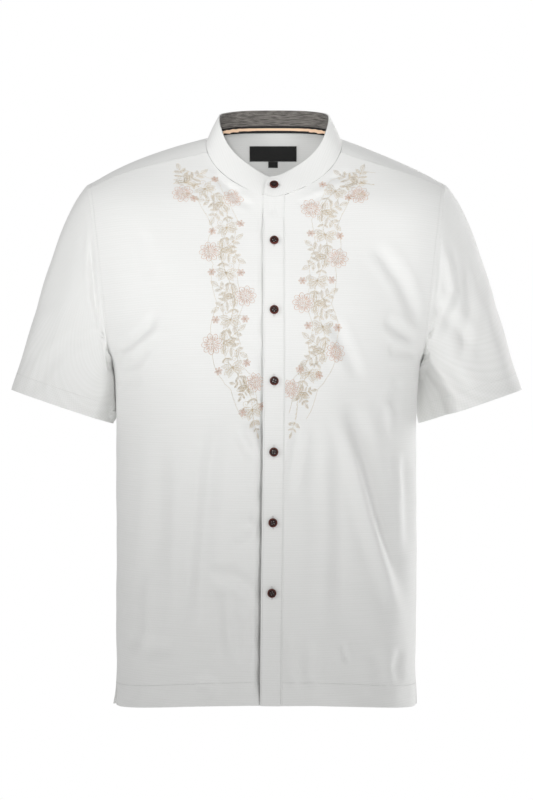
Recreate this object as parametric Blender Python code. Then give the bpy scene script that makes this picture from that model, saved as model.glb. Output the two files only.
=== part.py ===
"""Short-sleeved formal shirt with a stand collar, filled out as if worn.

Metres, +Z up. The front faces -Y and +X is the wearer's left. The origin is the
middle of the neck on the shoulder line, where the wearer's shoulders hold the shirt.
The body of the shirt is one surface of lines that run from the centre front, the neck
and the centre back out to the side seams and armholes. Each panel is a stretch of that
surface, given a wall of cloth and parted from its neighbours at the seams.
"""

import math
from collections import namedtuple

import bmesh
import bpy
import numpy as np
from mathutils.bvhtree import BVHTree

MM = 0.001

# Cloth
SHIRTING = 1.2 * MM  # wall of one layer of shirting
TURNED_HEM = 1.9 * MM  # wall where a hem is turned up and sewn
SEAM_GAP = 0.3 * MM  # between neighbouring pieces
COLLAR_WALL = 1.4 * MM
LINING_WALL = 1.0 * MM
TAPE_WALL = 0.8 * MM

# Heights, down from the shoulder line
HEM_SIDE = -742 * MM
HEM_FRONT = -729 * MM  # the chest lifts the front hem a little
HEM_BACK = -744 * MM
UNDERARM_FRONT = -262 * MM  # where the underarm line crosses the centre front
UNDERARM_BACK = -284 * MM
YOKE_SEAM_BACK = -72 * MM  # at the centre back
HEM_DEPTH = 30 * MM
VENT_HEIGHT = 35 * MM

# The body hangs a little to the wearer's right of the neck, as it was dressed
BODY_SHIFT = -10 * MM
SHOULDER_SLOPE = {-1: -0.24, 1: -0.37}  # where the cloth leaves the neck, by side
PLACKET_DRIFT = -4 * MM  # of the centre front line, at the hem

# Placket and buttons
PLACKET_WIDTH = 28 * MM
PLACKET_WALL = 1.0 * MM
BUTTON_RADIUS = 5.8 * MM
BUTTON_THICK = 2.6 * MM
BUTTON_SIDES = 16
FIRST_BUTTON = -129 * MM  # height of the first button below the collar
BUTTON_SPACING = 90.8 * MM
BUTTON_COUNT = 6

# Collar band
BAND_BULGE = 1.0 * MM  # the band bows out between its edges
BAND_CORNER = 14 * MM  # radius of the over end's top corner
TAPE_WIDTH = 10 * MM
LABEL_SIZE = (64 * MM, 20 * MM)
SIZE_TAB = (13 * MM, 8 * MM)
LABEL_TOP = 11 * MM  # height of the label's upper edge
LABEL_X = -1 * MM
LABEL_WALL = 0.8 * MM
LABEL_STANDOFF = 0.8 * MM  # off the yoke, whose inner face is a little faceted

# Cuff: an ellipse square to the sleeve, measured from the middle of the body
CUFF_CENTRE = (274 * MM, 3 * MM, -344 * MM)
CUFF_OUTER = (342 * MM, 3 * MM, -321 * MM)
CUFF_HALF_DEPTH = 50 * MM
SLEEVE_HEM = 24 * MM
SLEEVE_CLEARANCE = 2.5 * MM  # under the arm, between the sleeve and the side

Torso = namedtuple("Torso", "height half_width front back")
TORSO = (
    Torso(-745, 201, -117, 104),
    Torso(-650, 200, -118, 101),
    Torso(-540, 200, -121, 102),
    Torso(-440, 200, -126, 108),
    Torso(-370, 200, -129, 114),
    Torso(-320, 202, -129, 118),
    Torso(-284, 207, -127, 120),
    Torso(-255, 205, -124, 121),
    Torso(-200, 205, -113, 119),
    Torso(-140, 205, -91, 107),
    Torso(-76, 205, -58, 84),
    Torso(-20, 205, -40, 62),
    Torso(27, 205, -30, 44),
)

# The neck seam and the collar's top edge, from the centre front round one side
Neck = namedtuple("Neck", "seam_x seam_y seam_z top_x top_y top_z")
NECK = (
    Neck(0, -58, -69, 0, -38, -41),
    Neck(14, -57, -66, 11, -38, -38),
    Neck(35, -53, -58, 27, -36, -28),
    Neck(58, -43, -44, 46, -30, -14),
    Neck(78, -31, -26, 61, -22, 3),
    Neck(89, -17, -5, 70, -12, 24),
    Neck(91, 5, 13, 75, 5, 46),
    Neck(80, 27, 22, 66, 23, 53),
    Neck(46, 40, 27, 39, 33, 57),
    Neck(0, 45, 28, 0, 37, 58),
)
NECK_SIDE = 1  # the row where the placket ends
NECK_YOKE = 5  # the row where the front meets the yoke
NECK_BACK = 9

# The armhole from under the arm, up the front, over the shoulder and down the back.
# turn and drop point the cloth where it reaches the armhole: towards the back, and down.
Armhole = namedtuple("Armhole", "x y z turn drop")
ARMHOLE = (
    Armhole(207, 0, -284, 86, 0),
    Armhole(211, -40, -266, 62, 0),
    Armhole(216, -60, -216, 46, 0),
    Armhole(222, -64, -158, 38, 2),
    Armhole(229, -55, -107, 32, 10),
    Armhole(234, -40, -74, 24, 18),
    Armhole(238, -23, -55, 12, 26),
    Armhole(242, 6, -47, 0, 30),
    Armhole(241, 32, -59, -12, 26),
    Armhole(237, 52, -85, -24, 18),
    Armhole(233, 61, -110, -32, 10),
    Armhole(225, 68, -160, -38, 2),
    Armhole(217, 62, -216, -46, 0),
    Armhole(211, 42, -266, -62, 0),
    Armhole(207, 0, -284, -86, 0),
)

# Stretches of lines: how many, which edge they start from, and which armhole rows
# they reach. Neck starts are rows of NECK, and centre starts are heights.
Stretch = namedtuple("Stretch", "panel steps edge start end arm_start arm_end")
STRETCHES = (
    Stretch("front", 13, "front", HEM_FRONT, UNDERARM_FRONT, None, 0),
    Stretch("front", 6, "front", UNDERARM_FRONT, None, 0, 3.6),
    Stretch("front", 5, "neck", NECK_SIDE, NECK_YOKE, 3.6, 6),
    Stretch("yoke", 2, "neck", NECK_YOKE, 6, 6, 7),
    Stretch("yoke", 6, "neck", 6, NECK_BACK, 7, 9),
    Stretch("yoke", 4, "back", None, YOKE_SEAM_BACK, 9, 10),
    Stretch("back", 6, "back", YOKE_SEAM_BACK, UNDERARM_BACK, 10, 14),
    Stretch("back", 13, "back", UNDERARM_BACK, HEM_BACK, 14, None),
)
COLUMNS = 13
EDGE_COLUMNS = (0, 7 * MM, 19 * MM)  # the first columns, from a line's inner end
STRIP_CELLS = 4  # across the placket

# The largest folds, as soft troughs (or ridges, with a negative depth) on one face of
# the body: from one point to another across the front or back, in x and height.
Fold = namedtuple("Fold", "face x0 z0 x1 z1 width depth")
FOLDS = (
    Fold("front", 95, -300, 172, -470, 26, 7.0),
    Fold("front", 172, -470, 186, -660, 24, 4.0),
    Fold("front", 130, -330, 205, -300, 24, 3.5),
    Fold("front", 128, -120, 196, -255, 26, 4.5),
    Fold("front", 60, -420, 118, -730, 30, 3.5),
    Fold("front", -140, -150, -206, -262, 28, 3.0),
    Fold("front", -120, -300, -206, -296, 26, 3.5),
    Fold("front", -60, -370, -44, -700, 26, 3.0),
    Fold("front", -128, -420, -120, -735, 34, 3.5),
    Fold("front", -35, -350, -62, -330, 20, 3.0),
    Fold("back", -170, -200, -120, -430, 30, 5.0),
    Fold("back", 165, -200, 112, -440, 30, 5.0),
    Fold("back", -70, -380, -84, -735, 34, 5.0),
    Fold("back", 62, -400, 78, -740, 32, 5.0),
    Fold("back", -5, -330, 2, -700, 40, 4.0),
    Fold("back", -150, -470, -168, -735, 30, 4.0),
    Fold("back", 148, -480, 160, -740, 30, 4.0),
)

# Folds of a sleeve run down it, at an angle round it from the underarm over the front
SleeveFold = namedtuple("SleeveFold", "side angle0 down0 angle1 down1 width depth")
SLEEVE_FOLDS = (
    SleeveFold(1, 40, 0.1, 120, 0.85, 26, 5.0),
    SleeveFold(1, 20, 0.5, 70, 1.1, 18, 3.0),
    SleeveFold(1, 315, 0.1, 240, 0.9, 26, 5.0),
    SleeveFold(-1, 35, 0.15, 105, 0.9, 24, 4.0),
    SleeveFold(-1, 130, 0.3, 150, 0.8, 20, 2.5),
    SleeveFold(-1, 320, 0.1, 250, 0.9, 26, 5.0),
)
SLEEVE_ROWS = 12

Finish = namedtuple("Finish", "colour roughness")
SHIRT_WHITE = Finish((0.86, 0.86, 0.85), 0.75)
LINING_GREY = Finish((0.20, 0.19, 0.18), 0.85)
TAPE_PEACH = Finish((0.80, 0.60, 0.45), 0.7)
LABEL_BLACK = Finish((0.01, 0.01, 0.01), 0.6)
BUTTON_BROWN = Finish((0.035, 0.012, 0.008), 0.25)


def clear_scene():
    """Start from an empty scene."""
    for item in list(bpy.data.objects):
        bpy.data.objects.remove(item, do_unlink=True)


def material(name, finish):
    """A Principled material of one finish."""
    made = bpy.data.materials.get(name) or bpy.data.materials.new(name)
    made.use_nodes = True
    shader = made.node_tree.nodes["Principled BSDF"]
    shader.inputs["Base Color"].default_value = (*finish.colour, 1.0)
    shader.inputs["Roughness"].default_value = finish.roughness
    return made


def unit(vectors):
    """The vectors at length one."""
    return vectors / np.maximum(np.linalg.norm(vectors, axis=-1, keepdims=True), 1e-12)


def smooth_step(value, low, high):
    """0 below low, 1 above high, and an even curve between."""
    share = np.clip((value - low) / (high - low), 0.0, 1.0)
    return share * share * (3 - 2 * share)


def along_rows(rows, place):
    """The values of a table at a fractional row, on a curve through its rows."""
    table = np.array(rows, float)
    last = len(table) - 1
    row = min(int(place), last - 1)
    share = place - row
    before, here = table[max(row - 1, 0)], table[row]
    there, after = table[row + 1], table[min(row + 2, last)]
    start = (there - before) / (2 if row > 0 else 1)
    end = (after - here) / (2 if row < last - 1 else 1)
    squared, cubed = share**2, share**3
    return (
        (2 * cubed - 3 * squared + 1) * here
        + (cubed - 2 * squared + share) * start
        + (3 * squared - 2 * cubed) * there
        + (cubed - squared) * end
    )


def torso_at(height):
    """The torso's measures at a height in metres, as metres."""
    heights = [row.height * MM for row in TORSO]
    row = int(np.clip(np.searchsorted(heights, height) - 1, 0, len(TORSO) - 2))
    share = (height - heights[row]) / (heights[row + 1] - heights[row])
    return Torso(*(along_rows(TORSO, row + float(np.clip(share, 0, 1))) * MM))


def neck_point(side, place, top=0.0):
    """A point of the collar over a place on the neck seam, 0 at the seam, 1 at the top."""
    values = along_rows(NECK, place) * MM
    values = values[:3] * (1 - top) + values[3:] * top
    return values * (side, 1, 1)


def centre_front(height):
    """How far the centre front line has drifted sideways at a height."""
    return PLACKET_DRIFT * smooth_step(-height, 300 * MM, -HEM_FRONT)


def front_start(side, height):
    """The point at the side of the placket's place at a height."""
    body = torso_at(height)
    seam = neck_point(1, NECK_SIDE)
    depth = body.front + (seam[1] - torso_at(seam[2]).front) * smooth_step(
        height, -150 * MM, seam[2]
    )
    return np.array([side * PLACKET_WIDTH / 2 + centre_front(height), depth, height])


def body_lines(side):
    """Each line of one side: its stretch, its two ends, and how it leaves and arrives."""
    lines = []
    for stretch in STRETCHES:
        start, end = stretch.start, stretch.end
        if stretch.edge == "front" and end is None:
            end = neck_point(1, NECK_SIDE)[2]
        if stretch.edge == "back" and start is None:
            start = neck_point(1, NECK_BACK)[2]
        for step in range(0 if not lines else 1, stretch.steps + 1):
            share = step / stretch.steps
            place = start + (end - start) * share
            slope = 0.0
            if stretch.edge == "neck":
                inner = neck_point(side, place)
                slope = SHOULDER_SLOPE[side] * smooth_step(place, 1, 5)
                slope += (-0.3 - slope) * smooth_step(place, 7, 9)
            elif stretch.edge == "front":
                inner = front_start(side, place)
            else:
                inner = np.array([0.0, torso_at(place).back, place])
                top = neck_point(1, NECK_BACK)
                inner[1] += (top[1] - torso_at(top[2]).back) * smooth_step(
                    place, -60 * MM, top[2]
                )
                slope = -0.3 * smooth_step(place, YOKE_SEAM_BACK, top[2])
            if stretch.arm_start is None or stretch.arm_end is None:
                down = 1 - share if stretch.arm_start is None else share
                underarm = ARMHOLE[0].z * MM
                height = underarm + (HEM_SIDE - underarm) * down
                outer = np.array([side * torso_at(height).half_width, 0.0, height])
                turn = 88 if stretch.edge == "front" else -88
                drop = 0
            else:
                reach = stretch.arm_end - stretch.arm_start
                row = along_rows(ARMHOLE, stretch.arm_start + reach * share)
                outer = np.array([side * row[0], row[1], row[2]]) * MM
                turn, drop = row[3], row[4]
            outer[0] += BODY_SHIFT
            lines.append((stretch.panel, line_points(side, inner, outer, turn, drop, slope)))
    return lines


def line_points(side, inner, outer, turn, drop, slope):
    """One line of the body from its inner end to the side, as columns of points."""
    turn, drop = math.radians(turn), math.radians(drop)
    start_way = np.array([side, -0.4 * slope * np.sign(inner[1]), slope])
    end_way = np.array(
        [side * math.cos(turn) * math.cos(drop), math.sin(turn), -math.sin(drop)]
    )
    across, deep = abs(outer[0] - inner[0]), abs(outer[1] - inner[1])
    near = inner + start_way * 0.60 * across
    hold = 0.62 * deep * abs(math.sin(turn)) + 0.30 * across * abs(math.cos(turn))
    far = outer - unit(end_way) * hold
    share = np.linspace(0, 1, 161)[:, None]
    curve = (
        (1 - share) ** 3 * inner
        + 3 * share * (1 - share) ** 2 * near
        + 3 * share**2 * (1 - share) * far
        + share**3 * outer
    )
    run = np.concatenate([[0], np.cumsum(np.linalg.norm(np.diff(curve, axis=0), axis=1))])
    rest = np.linspace(EDGE_COLUMNS[-1], run[-1], COLUMNS - len(EDGE_COLUMNS) + 1)
    wanted = np.concatenate([EDGE_COLUMNS[:-1], rest])
    return np.stack([np.interp(wanted, run, curve[:, k]) for k in range(3)], axis=1)


def quads_of(numbers, closed=False):
    """The four corners of each cell of a grid of point numbers."""
    if closed:
        numbers = np.concatenate([numbers, numbers[:, :1]], axis=1)
    corners = [numbers[:-1, :-1], numbers[:-1, 1:], numbers[1:, 1:], numbers[1:, :-1]]
    quads = np.stack(corners, axis=-1).reshape(-1, 4)
    return quads


def normals_of(place, faces):
    """Normals of joined points, from the faces round each."""
    corners = place[faces]
    face = np.cross(corners[:, 2] - corners[:, 0], corners[:, 3] - corners[:, 1])
    total = np.zeros_like(place)
    for corner in range(4):
        np.add.at(total, faces[:, corner], face)
    return unit(total)


def relax(place, faces, rounds):
    """Even out the bends of a surface along its normals, and keep its free edges."""
    edges = np.concatenate([faces[:, [k, (k + 1) % 4]] for k in range(4)])
    edges = edges[edges[:, 0] != edges[:, 1]]
    pairs, uses = np.unique(np.sort(edges, axis=1), axis=0, return_counts=True)
    loose = np.ones(len(place), bool)
    loose[pairs[uses == 1].reshape(-1)] = False
    place = place.copy()
    for _ in range(rounds):
        for strength in (0.5, -0.53):
            step = place[pairs[:, 1]] - place[pairs[:, 0]]
            weight = 1 / np.maximum(np.linalg.norm(step, axis=1), 1 * MM)
            pull, total = np.zeros_like(place), np.zeros(len(place))
            for end, sign in ((0, 1), (1, -1)):
                np.add.at(pull, pairs[:, end], sign * step * weight[:, None])
                np.add.at(total, pairs[:, end], weight)
            pull /= total[:, None]
            normal = normals_of(place, faces)
            push = (pull * normal).sum(1, keepdims=True) * normal
            place[loose] += strength * push[loose]
    return place


def fold_depths(place):
    """How far each point of the body moves out for the folds, in metres."""
    moved = np.zeros(len(place))
    x, y, z = place.T
    for fold in FOLDS:
        start = np.array([fold.x0, fold.z0]) * MM
        way = np.array([fold.x1, fold.z1]) * MM - start
        share = ((x - start[0]) * way[0] + (z - start[1]) * way[1]) / (way @ way)
        held = np.clip(share, 0, 1)
        away = np.hypot(x - start[0] - held * way[0], z - start[1] - held * way[1])
        taper = smooth_step(share, -0.15, 0.3) * (1 - smooth_step(share, 0.7, 1.15))
        facing = -y if fold.face == "front" else y
        taper = taper * smooth_step(facing, 0.0, 30 * MM)
        moved -= fold.depth * MM * np.exp(-((away / (fold.width * MM)) ** 2)) * taper
    return moved


class Surface:
    """Joined points, the faces between them, and an outward normal at each point."""

    def __init__(self, grids, closed=False):
        """grids is a dictionary of grids of points, which join where they touch."""
        flat = np.concatenate([g.reshape(-1, 3) for g in grids.values()])
        _, first, numbers = np.unique(
            np.round(flat, 6), axis=0, return_index=True, return_inverse=True
        )
        numbers = numbers.reshape(-1)
        self.place = flat[first]
        self.grids, used = {}, 0
        for name, grid in grids.items():
            size = grid.shape[0] * grid.shape[1]
            self.grids[name] = numbers[used : used + size].reshape(grid.shape[:2])
            used += size
        self.closed = closed

    def faces(self, *wanted):
        """The faces of some grids, or of stretches of them as (name, rows, columns)."""
        found = []
        for name in wanted or self.grids:
            rows = columns = slice(None)
            if isinstance(name, tuple):
                name, rows, columns = name
            quads = quads_of(self.grids[name][rows, columns], self.closed)
            found.append(quads[:, ::-1] if name.startswith("right") else quads)
        return np.concatenate(found)


def make_body():
    """The surface of the body, with its folds."""
    lines = {side: body_lines(side) for side in (-1, 1)}
    grids = {}
    for side, name in ((-1, "right"), (1, "left")):
        grids[name] = np.array([points for _, points in lines[side]])
    panels = [panel for panel, _ in lines[1]]
    rows = sum(s.steps for s in STRETCHES if s.edge == "front") + 1
    share = np.linspace(0, 1, STRIP_CELLS + 1)[None, :, None]
    right, left = grids["right"][:rows, 0], grids["left"][:rows, 0]
    strip = right[:, None] * (1 - share) + left[:, None] * share
    crown = 1 - (2 * share[..., 0] - 1) ** 2  # the neck seam dips at the centre
    strip[..., 2] -= crown * smooth_step(strip[..., 2], -160 * MM, -66 * MM) * 3 * MM
    strip[..., 1] -= crown * 1 * MM
    grids["strip"] = strip
    surface = Surface(grids)
    every = surface.faces()
    surface.place = relax(surface.place, every, 30)
    normal = normals_of(surface.place, every)
    surface.place = surface.place + normal * fold_depths(surface.place)[:, None]
    surface.normal = normals_of(surface.place, every)
    surface.seam = {}
    bounds = {}
    for panel in ("front", "yoke", "back"):
        own = [k for k, name in enumerate(panels) if name == panel]
        bounds[panel] = slice(max(own[0] - (panel != "front"), 0), own[-1] + 1)
    return surface, bounds


def cloth(name, place, normal, faces, thick, finish, gap=SEAM_GAP, seam=None):
    """Cloth under a surface: an outer face, an inner one and a rim, as one object.

    The surface's free edges are drawn in by half the gap, so neighbours stay apart.
    seam gives the way in which some points draw in, where two pieces meet at a fold.
    thick is one thickness, or one for each point.
    """
    used = np.unique(faces)
    index = np.full(len(place), -1)
    index[used] = np.arange(len(used))
    outer, way, quads = place[used].copy(), normal[used], index[faces]
    thick = thick[used] if isinstance(thick, np.ndarray) else np.full(len(used), thick)
    edges = np.concatenate([quads[:, [k, (k + 1) % 4]] for k in range(4)])
    middle = np.tile(outer[quads].mean(axis=1), (4, 1))
    known = {(a, b) for a, b in edges}
    free = [k for k, (a, b) in enumerate(edges) if a != b and (b, a) not in known]
    rim, middle = edges[free], middle[free]
    ends = outer[rim[:, 0]], outer[rim[:, 1]]
    along = unit(ends[1] - ends[0])
    inward = middle - (ends[0] + ends[1]) / 2
    inward = unit(inward - (inward * along).sum(1, keepdims=True) * along)
    pulls = np.stack([inward, inward], axis=1)
    for k, pair in enumerate(used[rim]):
        if seam and pair[0] in seam and pair[1] in seam:
            pulls[k] = seam[pair[0]], seam[pair[1]]
    draw = np.zeros_like(outer)
    for end in (0, 1):
        np.add.at(draw, rim[:, end], pulls[:, end])
    size = (draw * draw).sum(1)
    edge = size > 1e-9
    draw[edge] *= 2 / np.maximum(size[edge], 1.2)[:, None]
    outer += draw * gap / 2
    inner = outer - way * thick[:, None]
    count = len(outer)
    shape = bmesh.new()
    verts = [shape.verts.new(p) for p in np.concatenate([outer, inner])]
    for a, b, c, d in quads:
        # both faces split the same way, so that the wall keeps its thickness
        if np.linalg.norm(outer[a] - outer[c]) <= np.linalg.norm(outer[b] - outer[d]):
            halves = ((a, b, c), (a, c, d))
        else:
            halves = ((a, b, d), (b, c, d))
        for half in halves:
            if len(set(half)) == 3:
                shape.faces.new([verts[k] for k in half])
                shape.faces.new([verts[k + count] for k in reversed(half)])
    for a, b in rim:
        shape.faces.new([verts[b], verts[a], verts[a + count], verts[b + count]])
    return finished(name, shape, finish)


def finished(name, shape, finish):
    """An object of a bmesh, smooth but for its edges, with its own material."""
    if shape.calc_volume(signed=True) < 0:
        bmesh.ops.reverse_faces(shape, faces=shape.faces)
    mesh = bpy.data.meshes.new(name)
    shape.to_mesh(mesh)
    shape.free()
    mesh.shade_smooth()
    mesh.set_sharp_from_angle(angle=math.radians(50))
    made = bpy.data.objects.new(name, mesh)
    made.data.materials.append(material(name + "_cloth", finish))
    bpy.context.scene.collection.objects.link(made)
    return made


def make_panels(body, bounds):
    """The fronts, the placket, the yoke and the back."""
    place, normal = body.place, body.normal
    hem = np.where(
        place[:, 2] < HEM_SIDE + HEM_DEPTH + 14 * MM * (place[:, 1] < 0),
        TURNED_HEM,
        SHIRTING,
    )
    every = slice(None)
    aside = place[:, 0] - np.array([centre_front(z) for z in place[:, 2]])
    inner_side = PLACKET_WIDTH / 2 + 1 * MM
    raised = 1 - smooth_step(aside, inner_side, inner_side + 32 * MM)
    lift = (SHIRTING + SEAM_GAP) * raised[:, None]
    thin = np.minimum(hem, TURNED_HEM)
    fronts = bounds["front"]
    cloth("front_right", place, normal, body.faces(("right", fronts, every), "strip"),
          np.where(np.abs(aside) < inner_side, SHIRTING, thin), SHIRT_WHITE,
          seam=body.seam)
    cloth("front_left", place + normal * lift, normal,
          body.faces(("left", fronts, every), "strip"),
          np.where(aside < inner_side, SHIRTING, thin), SHIRT_WHITE, seam=body.seam)
    over = SHIRTING + 2 * SEAM_GAP + PLACKET_WALL
    cloth("placket", place + normal * over, normal, body.faces("strip"),
          PLACKET_WALL, SHIRT_WHITE)
    both = [("right", bounds["yoke"], every), ("left", bounds["yoke"], every)]
    cloth("yoke", place, normal, body.faces(*both), SHIRTING, SHIRT_WHITE, seam=body.seam)
    both = [("right", bounds["back"], every), ("left", bounds["back"], every)]
    turned = place.copy()
    corner = smooth_step(-place[:, 2], -HEM_SIDE - VENT_HEIGHT, -HEM_SIDE)
    corner *= 1 - smooth_step(np.abs(place[:, 1]), 0, 30 * MM)
    turned[:, 0] += np.where(place[:, 0] < 0, -4, 1.5) * MM * corner
    turned[:, 1] += 1.2 * MM * corner
    cloth("back", turned, normal, body.faces(*both), hem, SHIRT_WHITE, seam=body.seam)


def sleeve_surface(body, side):
    """The surface of a short sleeve: rings from the armhole to the cuff."""
    own = body.grids["left" if side > 0 else "right"]
    first = STRETCHES[0].steps
    last = len(own) - 1 - STRETCHES[-1].steps
    ids, before = own[first:last, -1].copy(), own[first:last, -2].copy()
    start = body.place[ids]
    onward = unit(start - body.place[before])
    count = len(ids)
    run = np.linalg.norm(np.roll(start, -1, axis=0) - start, axis=1)
    place = np.concatenate([[0], np.cumsum(run)])[:-1] / run.sum()
    turn = 2 * math.pi * place  # 0 at the underarm, then over the front
    shift = np.array([BODY_SHIFT, 0, 0])
    flip = np.array([side, 1, 1])
    centre, outer = np.array(CUFF_CENTRE), np.array(CUFF_OUTER)
    out = outer - centre
    cuff = (
        centre
        - np.cos(turn)[:, None] * out
        + np.sin(turn)[:, None] * np.array([0, -CUFF_HALF_DEPTH, 0])
    ) * flip + shift
    axis = unit(np.cross(out, (0, 1, 0)))
    axis = axis * (1 if axis[2] < 0 else -1) * flip
    straight = unit(cuff - start)
    top = (0.5 - 0.5 * np.cos(turn))[:, None]
    leave = unit(onward * top + straight * (1.05 - top))
    leave[:, 2] -= 0.4 * top[:, 0]
    leave = unit(leave)
    reach = np.linalg.norm(cuff - start, axis=1)[:, None]
    near = start + leave * reach * (0.16 + 0.03 * top)
    far = cuff - axis * reach * 0.35
    rows = []
    for row in range(SLEEVE_ROWS + 1):
        share = row / SLEEVE_ROWS
        share = share * (0.82 + 0.18 * share)
        rows.append(
            (1 - share) ** 3 * start
            + 3 * share * (1 - share) ** 2 * near
            + 3 * share**2 * (1 - share) * far
            + share**3 * cuff
        )
    grid = np.array(rows)
    count = grid.shape[1]
    surface = Surface({"left" if side > 0 else "right": grid}, closed=True)
    faces = surface.faces()
    surface.place = relax(surface.place, faces, 6)
    number = surface.grids["left" if side > 0 else "right"]
    low = surface.place[:, 2] < ARMHOLE[1].z * MM
    low[number[0]] = False
    side_of_body = np.array([torso_at(z).half_width for z in surface.place[:, 2]])
    side_of_body = np.maximum(side_of_body, ARMHOLE[0].x * MM * (surface.place[:, 2] > -0.3))
    off = (surface.place[:, 0] - BODY_SHIFT) * side
    nearest = side_of_body + SLEEVE_CLEARANCE
    surface.place[:, 0] += side * np.where(low, np.maximum(nearest - off, 0), 0)
    normal = normals_of(surface.place, faces)
    centre_line = grid.mean(axis=1)
    inside = (normal[number[4, 0]] * (surface.place[number[4, 0]] - centre_line[4])).sum() < 0
    if inside:
        faces, normal = faces[:, ::-1], -normal
    moved = np.zeros(len(surface.place))
    angles = np.degrees(turn)
    for fold in SLEEVE_FOLDS:
        if fold.side != side:
            continue
        for row in range(1, SLEEVE_ROWS + 1):
            down = row / SLEEVE_ROWS
            share = (down - fold.down0) / (fold.down1 - fold.down0)
            middle = fold.angle0 + (fold.angle1 - fold.angle0) * share
            away = np.abs((angles - middle + 180) % 360 - 180)
            taper = smooth_step(share, -0.2, 0.25) * (1 - smooth_step(share, 0.75, 1.15))
            moved[number[row]] -= fold.depth * MM * taper * np.exp(-((away / fold.width) ** 2))
    surface.place = surface.place + normal * moved[:, None]
    normal = normals_of(surface.place, faces)
    # at the armhole both walls stand the same way and part across the fold between them
    ring = number[0]
    along = unit(np.roll(start, -1, axis=0) - np.roll(start, 1, axis=0))
    before[0] = own[first - 1, -1]
    away = unit(np.cross(normal[ring], along))
    away *= np.sign((away * (surface.place[number[1]] - start)).sum(1, keepdims=True))
    back = unit(np.cross(body.normal[ids], along))
    back *= np.sign((back * (body.place[before] - start)).sum(1, keepdims=True))
    fold = np.sign((body.normal[ids] * away).sum(1, keepdims=True))
    shared = unit(normal[ring] + body.normal[ids] + fold * (away + back))
    apart = unit(back - away)
    normal[ring] = shared
    body.normal[ids] = shared
    body.seam.update({point: way for point, way in zip(ids, apart)})
    surface.seam = {point: -way for point, way in zip(ring, apart)}
    surface.normal = normal
    surface.thick = np.full(len(surface.place), SHIRTING)
    down = np.linalg.norm(grid - grid[-1], axis=2)
    surface.thick[number[down < SLEEVE_HEM * 1.15]] = TURNED_HEM
    return surface, faces


def make_collar():
    """The band, its lining and the neck tape: strips round the neck, open in front."""
    seam = sum(s.steps for s in STRETCHES if s.panel == "front" and s.edge == "front")
    last = sum(s.steps for s in STRETCHES if s.edge in ("front", "neck"))
    places = [(1, 1.0), (1, 0.5), (1, 0.0), (-1, 0.5)]
    rims = {1: [], -1: []}
    for stretch in STRETCHES:
        if stretch.edge == "neck":
            reach = stretch.end - stretch.start
            for step in range(1, stretch.steps + 1):
                rims[1].append(stretch.start + reach * step / stretch.steps)
    places += [(-1, 1.0)] + [(-1, p) for p in rims[1]]
    places += [(1, p) for p in rims[1][::-1][1:]] + [(1, 1.0)]
    places += [(1, 0.5), (1, 0.0), (-1, 0.5), (-1, 1.0)]
    ring = list(body.grids["strip"][seam, ::-1])
    ring += list(body.grids["right"][seam + 1 : last + 1, 0])
    ring += list(body.grids["left"][seam : last, 0][::-1])
    ring += list(body.grids["strip"][seam, ::-1][1:])
    levels = np.linspace(0, 1, 4)
    low = body.place[ring]
    high = np.array([neck_point(s, p, 1) for s, p in places])
    flat = np.array([low * (1 - t) + high * t for t in levels])
    up = unit(flat[-1] - flat[0])
    along = unit(np.gradient(flat[0], axis=0))
    way = unit(np.cross(up, along))
    way *= np.sign(way[len(places) // 2, 1])
    # the left end lies over the right one
    run = np.concatenate([[0], np.cumsum(np.linalg.norm(np.diff(flat[0], axis=0), axis=1))])
    run = run[-1] - run
    whole = COLLAR_WALL + LINING_WALL + 2 * SEAM_GAP
    lift = (whole + 0.1 * MM) * (1 - smooth_step(run, 32 * MM, 75 * MM))
    # the left end is rounded at its top corner
    down = BAND_CORNER * (1 - np.sqrt(1 - (1 - np.clip(run / BAND_CORNER, 0, 1)) ** 2))
    height = np.linalg.norm(high - low, axis=1)
    grid = flat + (way * lift[:, None])[None]
    for k, level in enumerate(levels):
        reached = level * (1 - down / height)
        grid[k] -= up * (level - reached)[:, None] * height[:, None]
        grid[k] += way * (np.sin(np.pi * reached) * BAND_BULGE)[:, None]
    # the lowest row stands off the panels' edges
    grid[0] += up * SEAM_GAP
    normal = np.repeat(way[None], len(levels), axis=0)
    outer = Surface({"left": grid})
    pick = outer.grids["left"]
    ways = np.zeros_like(outer.place)
    ways[pick] = normal
    faces = outer.faces()
    cloth("collar_band", outer.place, ways, faces, COLLAR_WALL, SHIRT_WHITE, gap=0)
    depth = COLLAR_WALL + SEAM_GAP
    cloth("collar_lining", outer.place - ways * depth, ways, faces, LINING_WALL,
          LINING_GREY, gap=0)
    return grid, way, up, places


def make_tape(grid, way, up, places):
    """The tape over the inner neck seam, low on the lining, round the back."""
    reach = [k for k, (_, p) in enumerate(places) if p >= NECK_YOKE - 0.3]
    picked = slice(reach[0], reach[-1] + 1)
    depth = COLLAR_WALL + LINING_WALL + 2 * SEAM_GAP
    rows = []
    for share in (0, 0.5, 1):
        height = share * TAPE_WIDTH
        total = np.linalg.norm(grid[-1] - grid[0], axis=1)
        level = height / total * (len(grid) - 1)
        low = np.minimum(level.astype(int), len(grid) - 2)
        part = (level - low)[:, None]
        each = np.arange(grid.shape[1])
        row = grid[low, each] * (1 - part) + grid[low + 1, each] * part
        rows.append((row - way * depth)[picked])
    tape = Surface({"left": np.array(rows)})
    ways = np.zeros_like(tape.place)
    ways[tape.grids["left"]] = np.repeat(way[None, picked], 3, axis=0)
    cloth("neck_tape", tape.place, ways, tape.faces(), TAPE_WALL, TAPE_PEACH, gap=0)


def inside_yoke(tree, x, z):
    """A point on the inner face of the yoke at the back, and the way out there."""
    spot, facing, _, _ = tree.ray_cast((x, 0.0, z), (0, 1, 0))
    return np.array(spot), -unit(np.array(facing))


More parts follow.
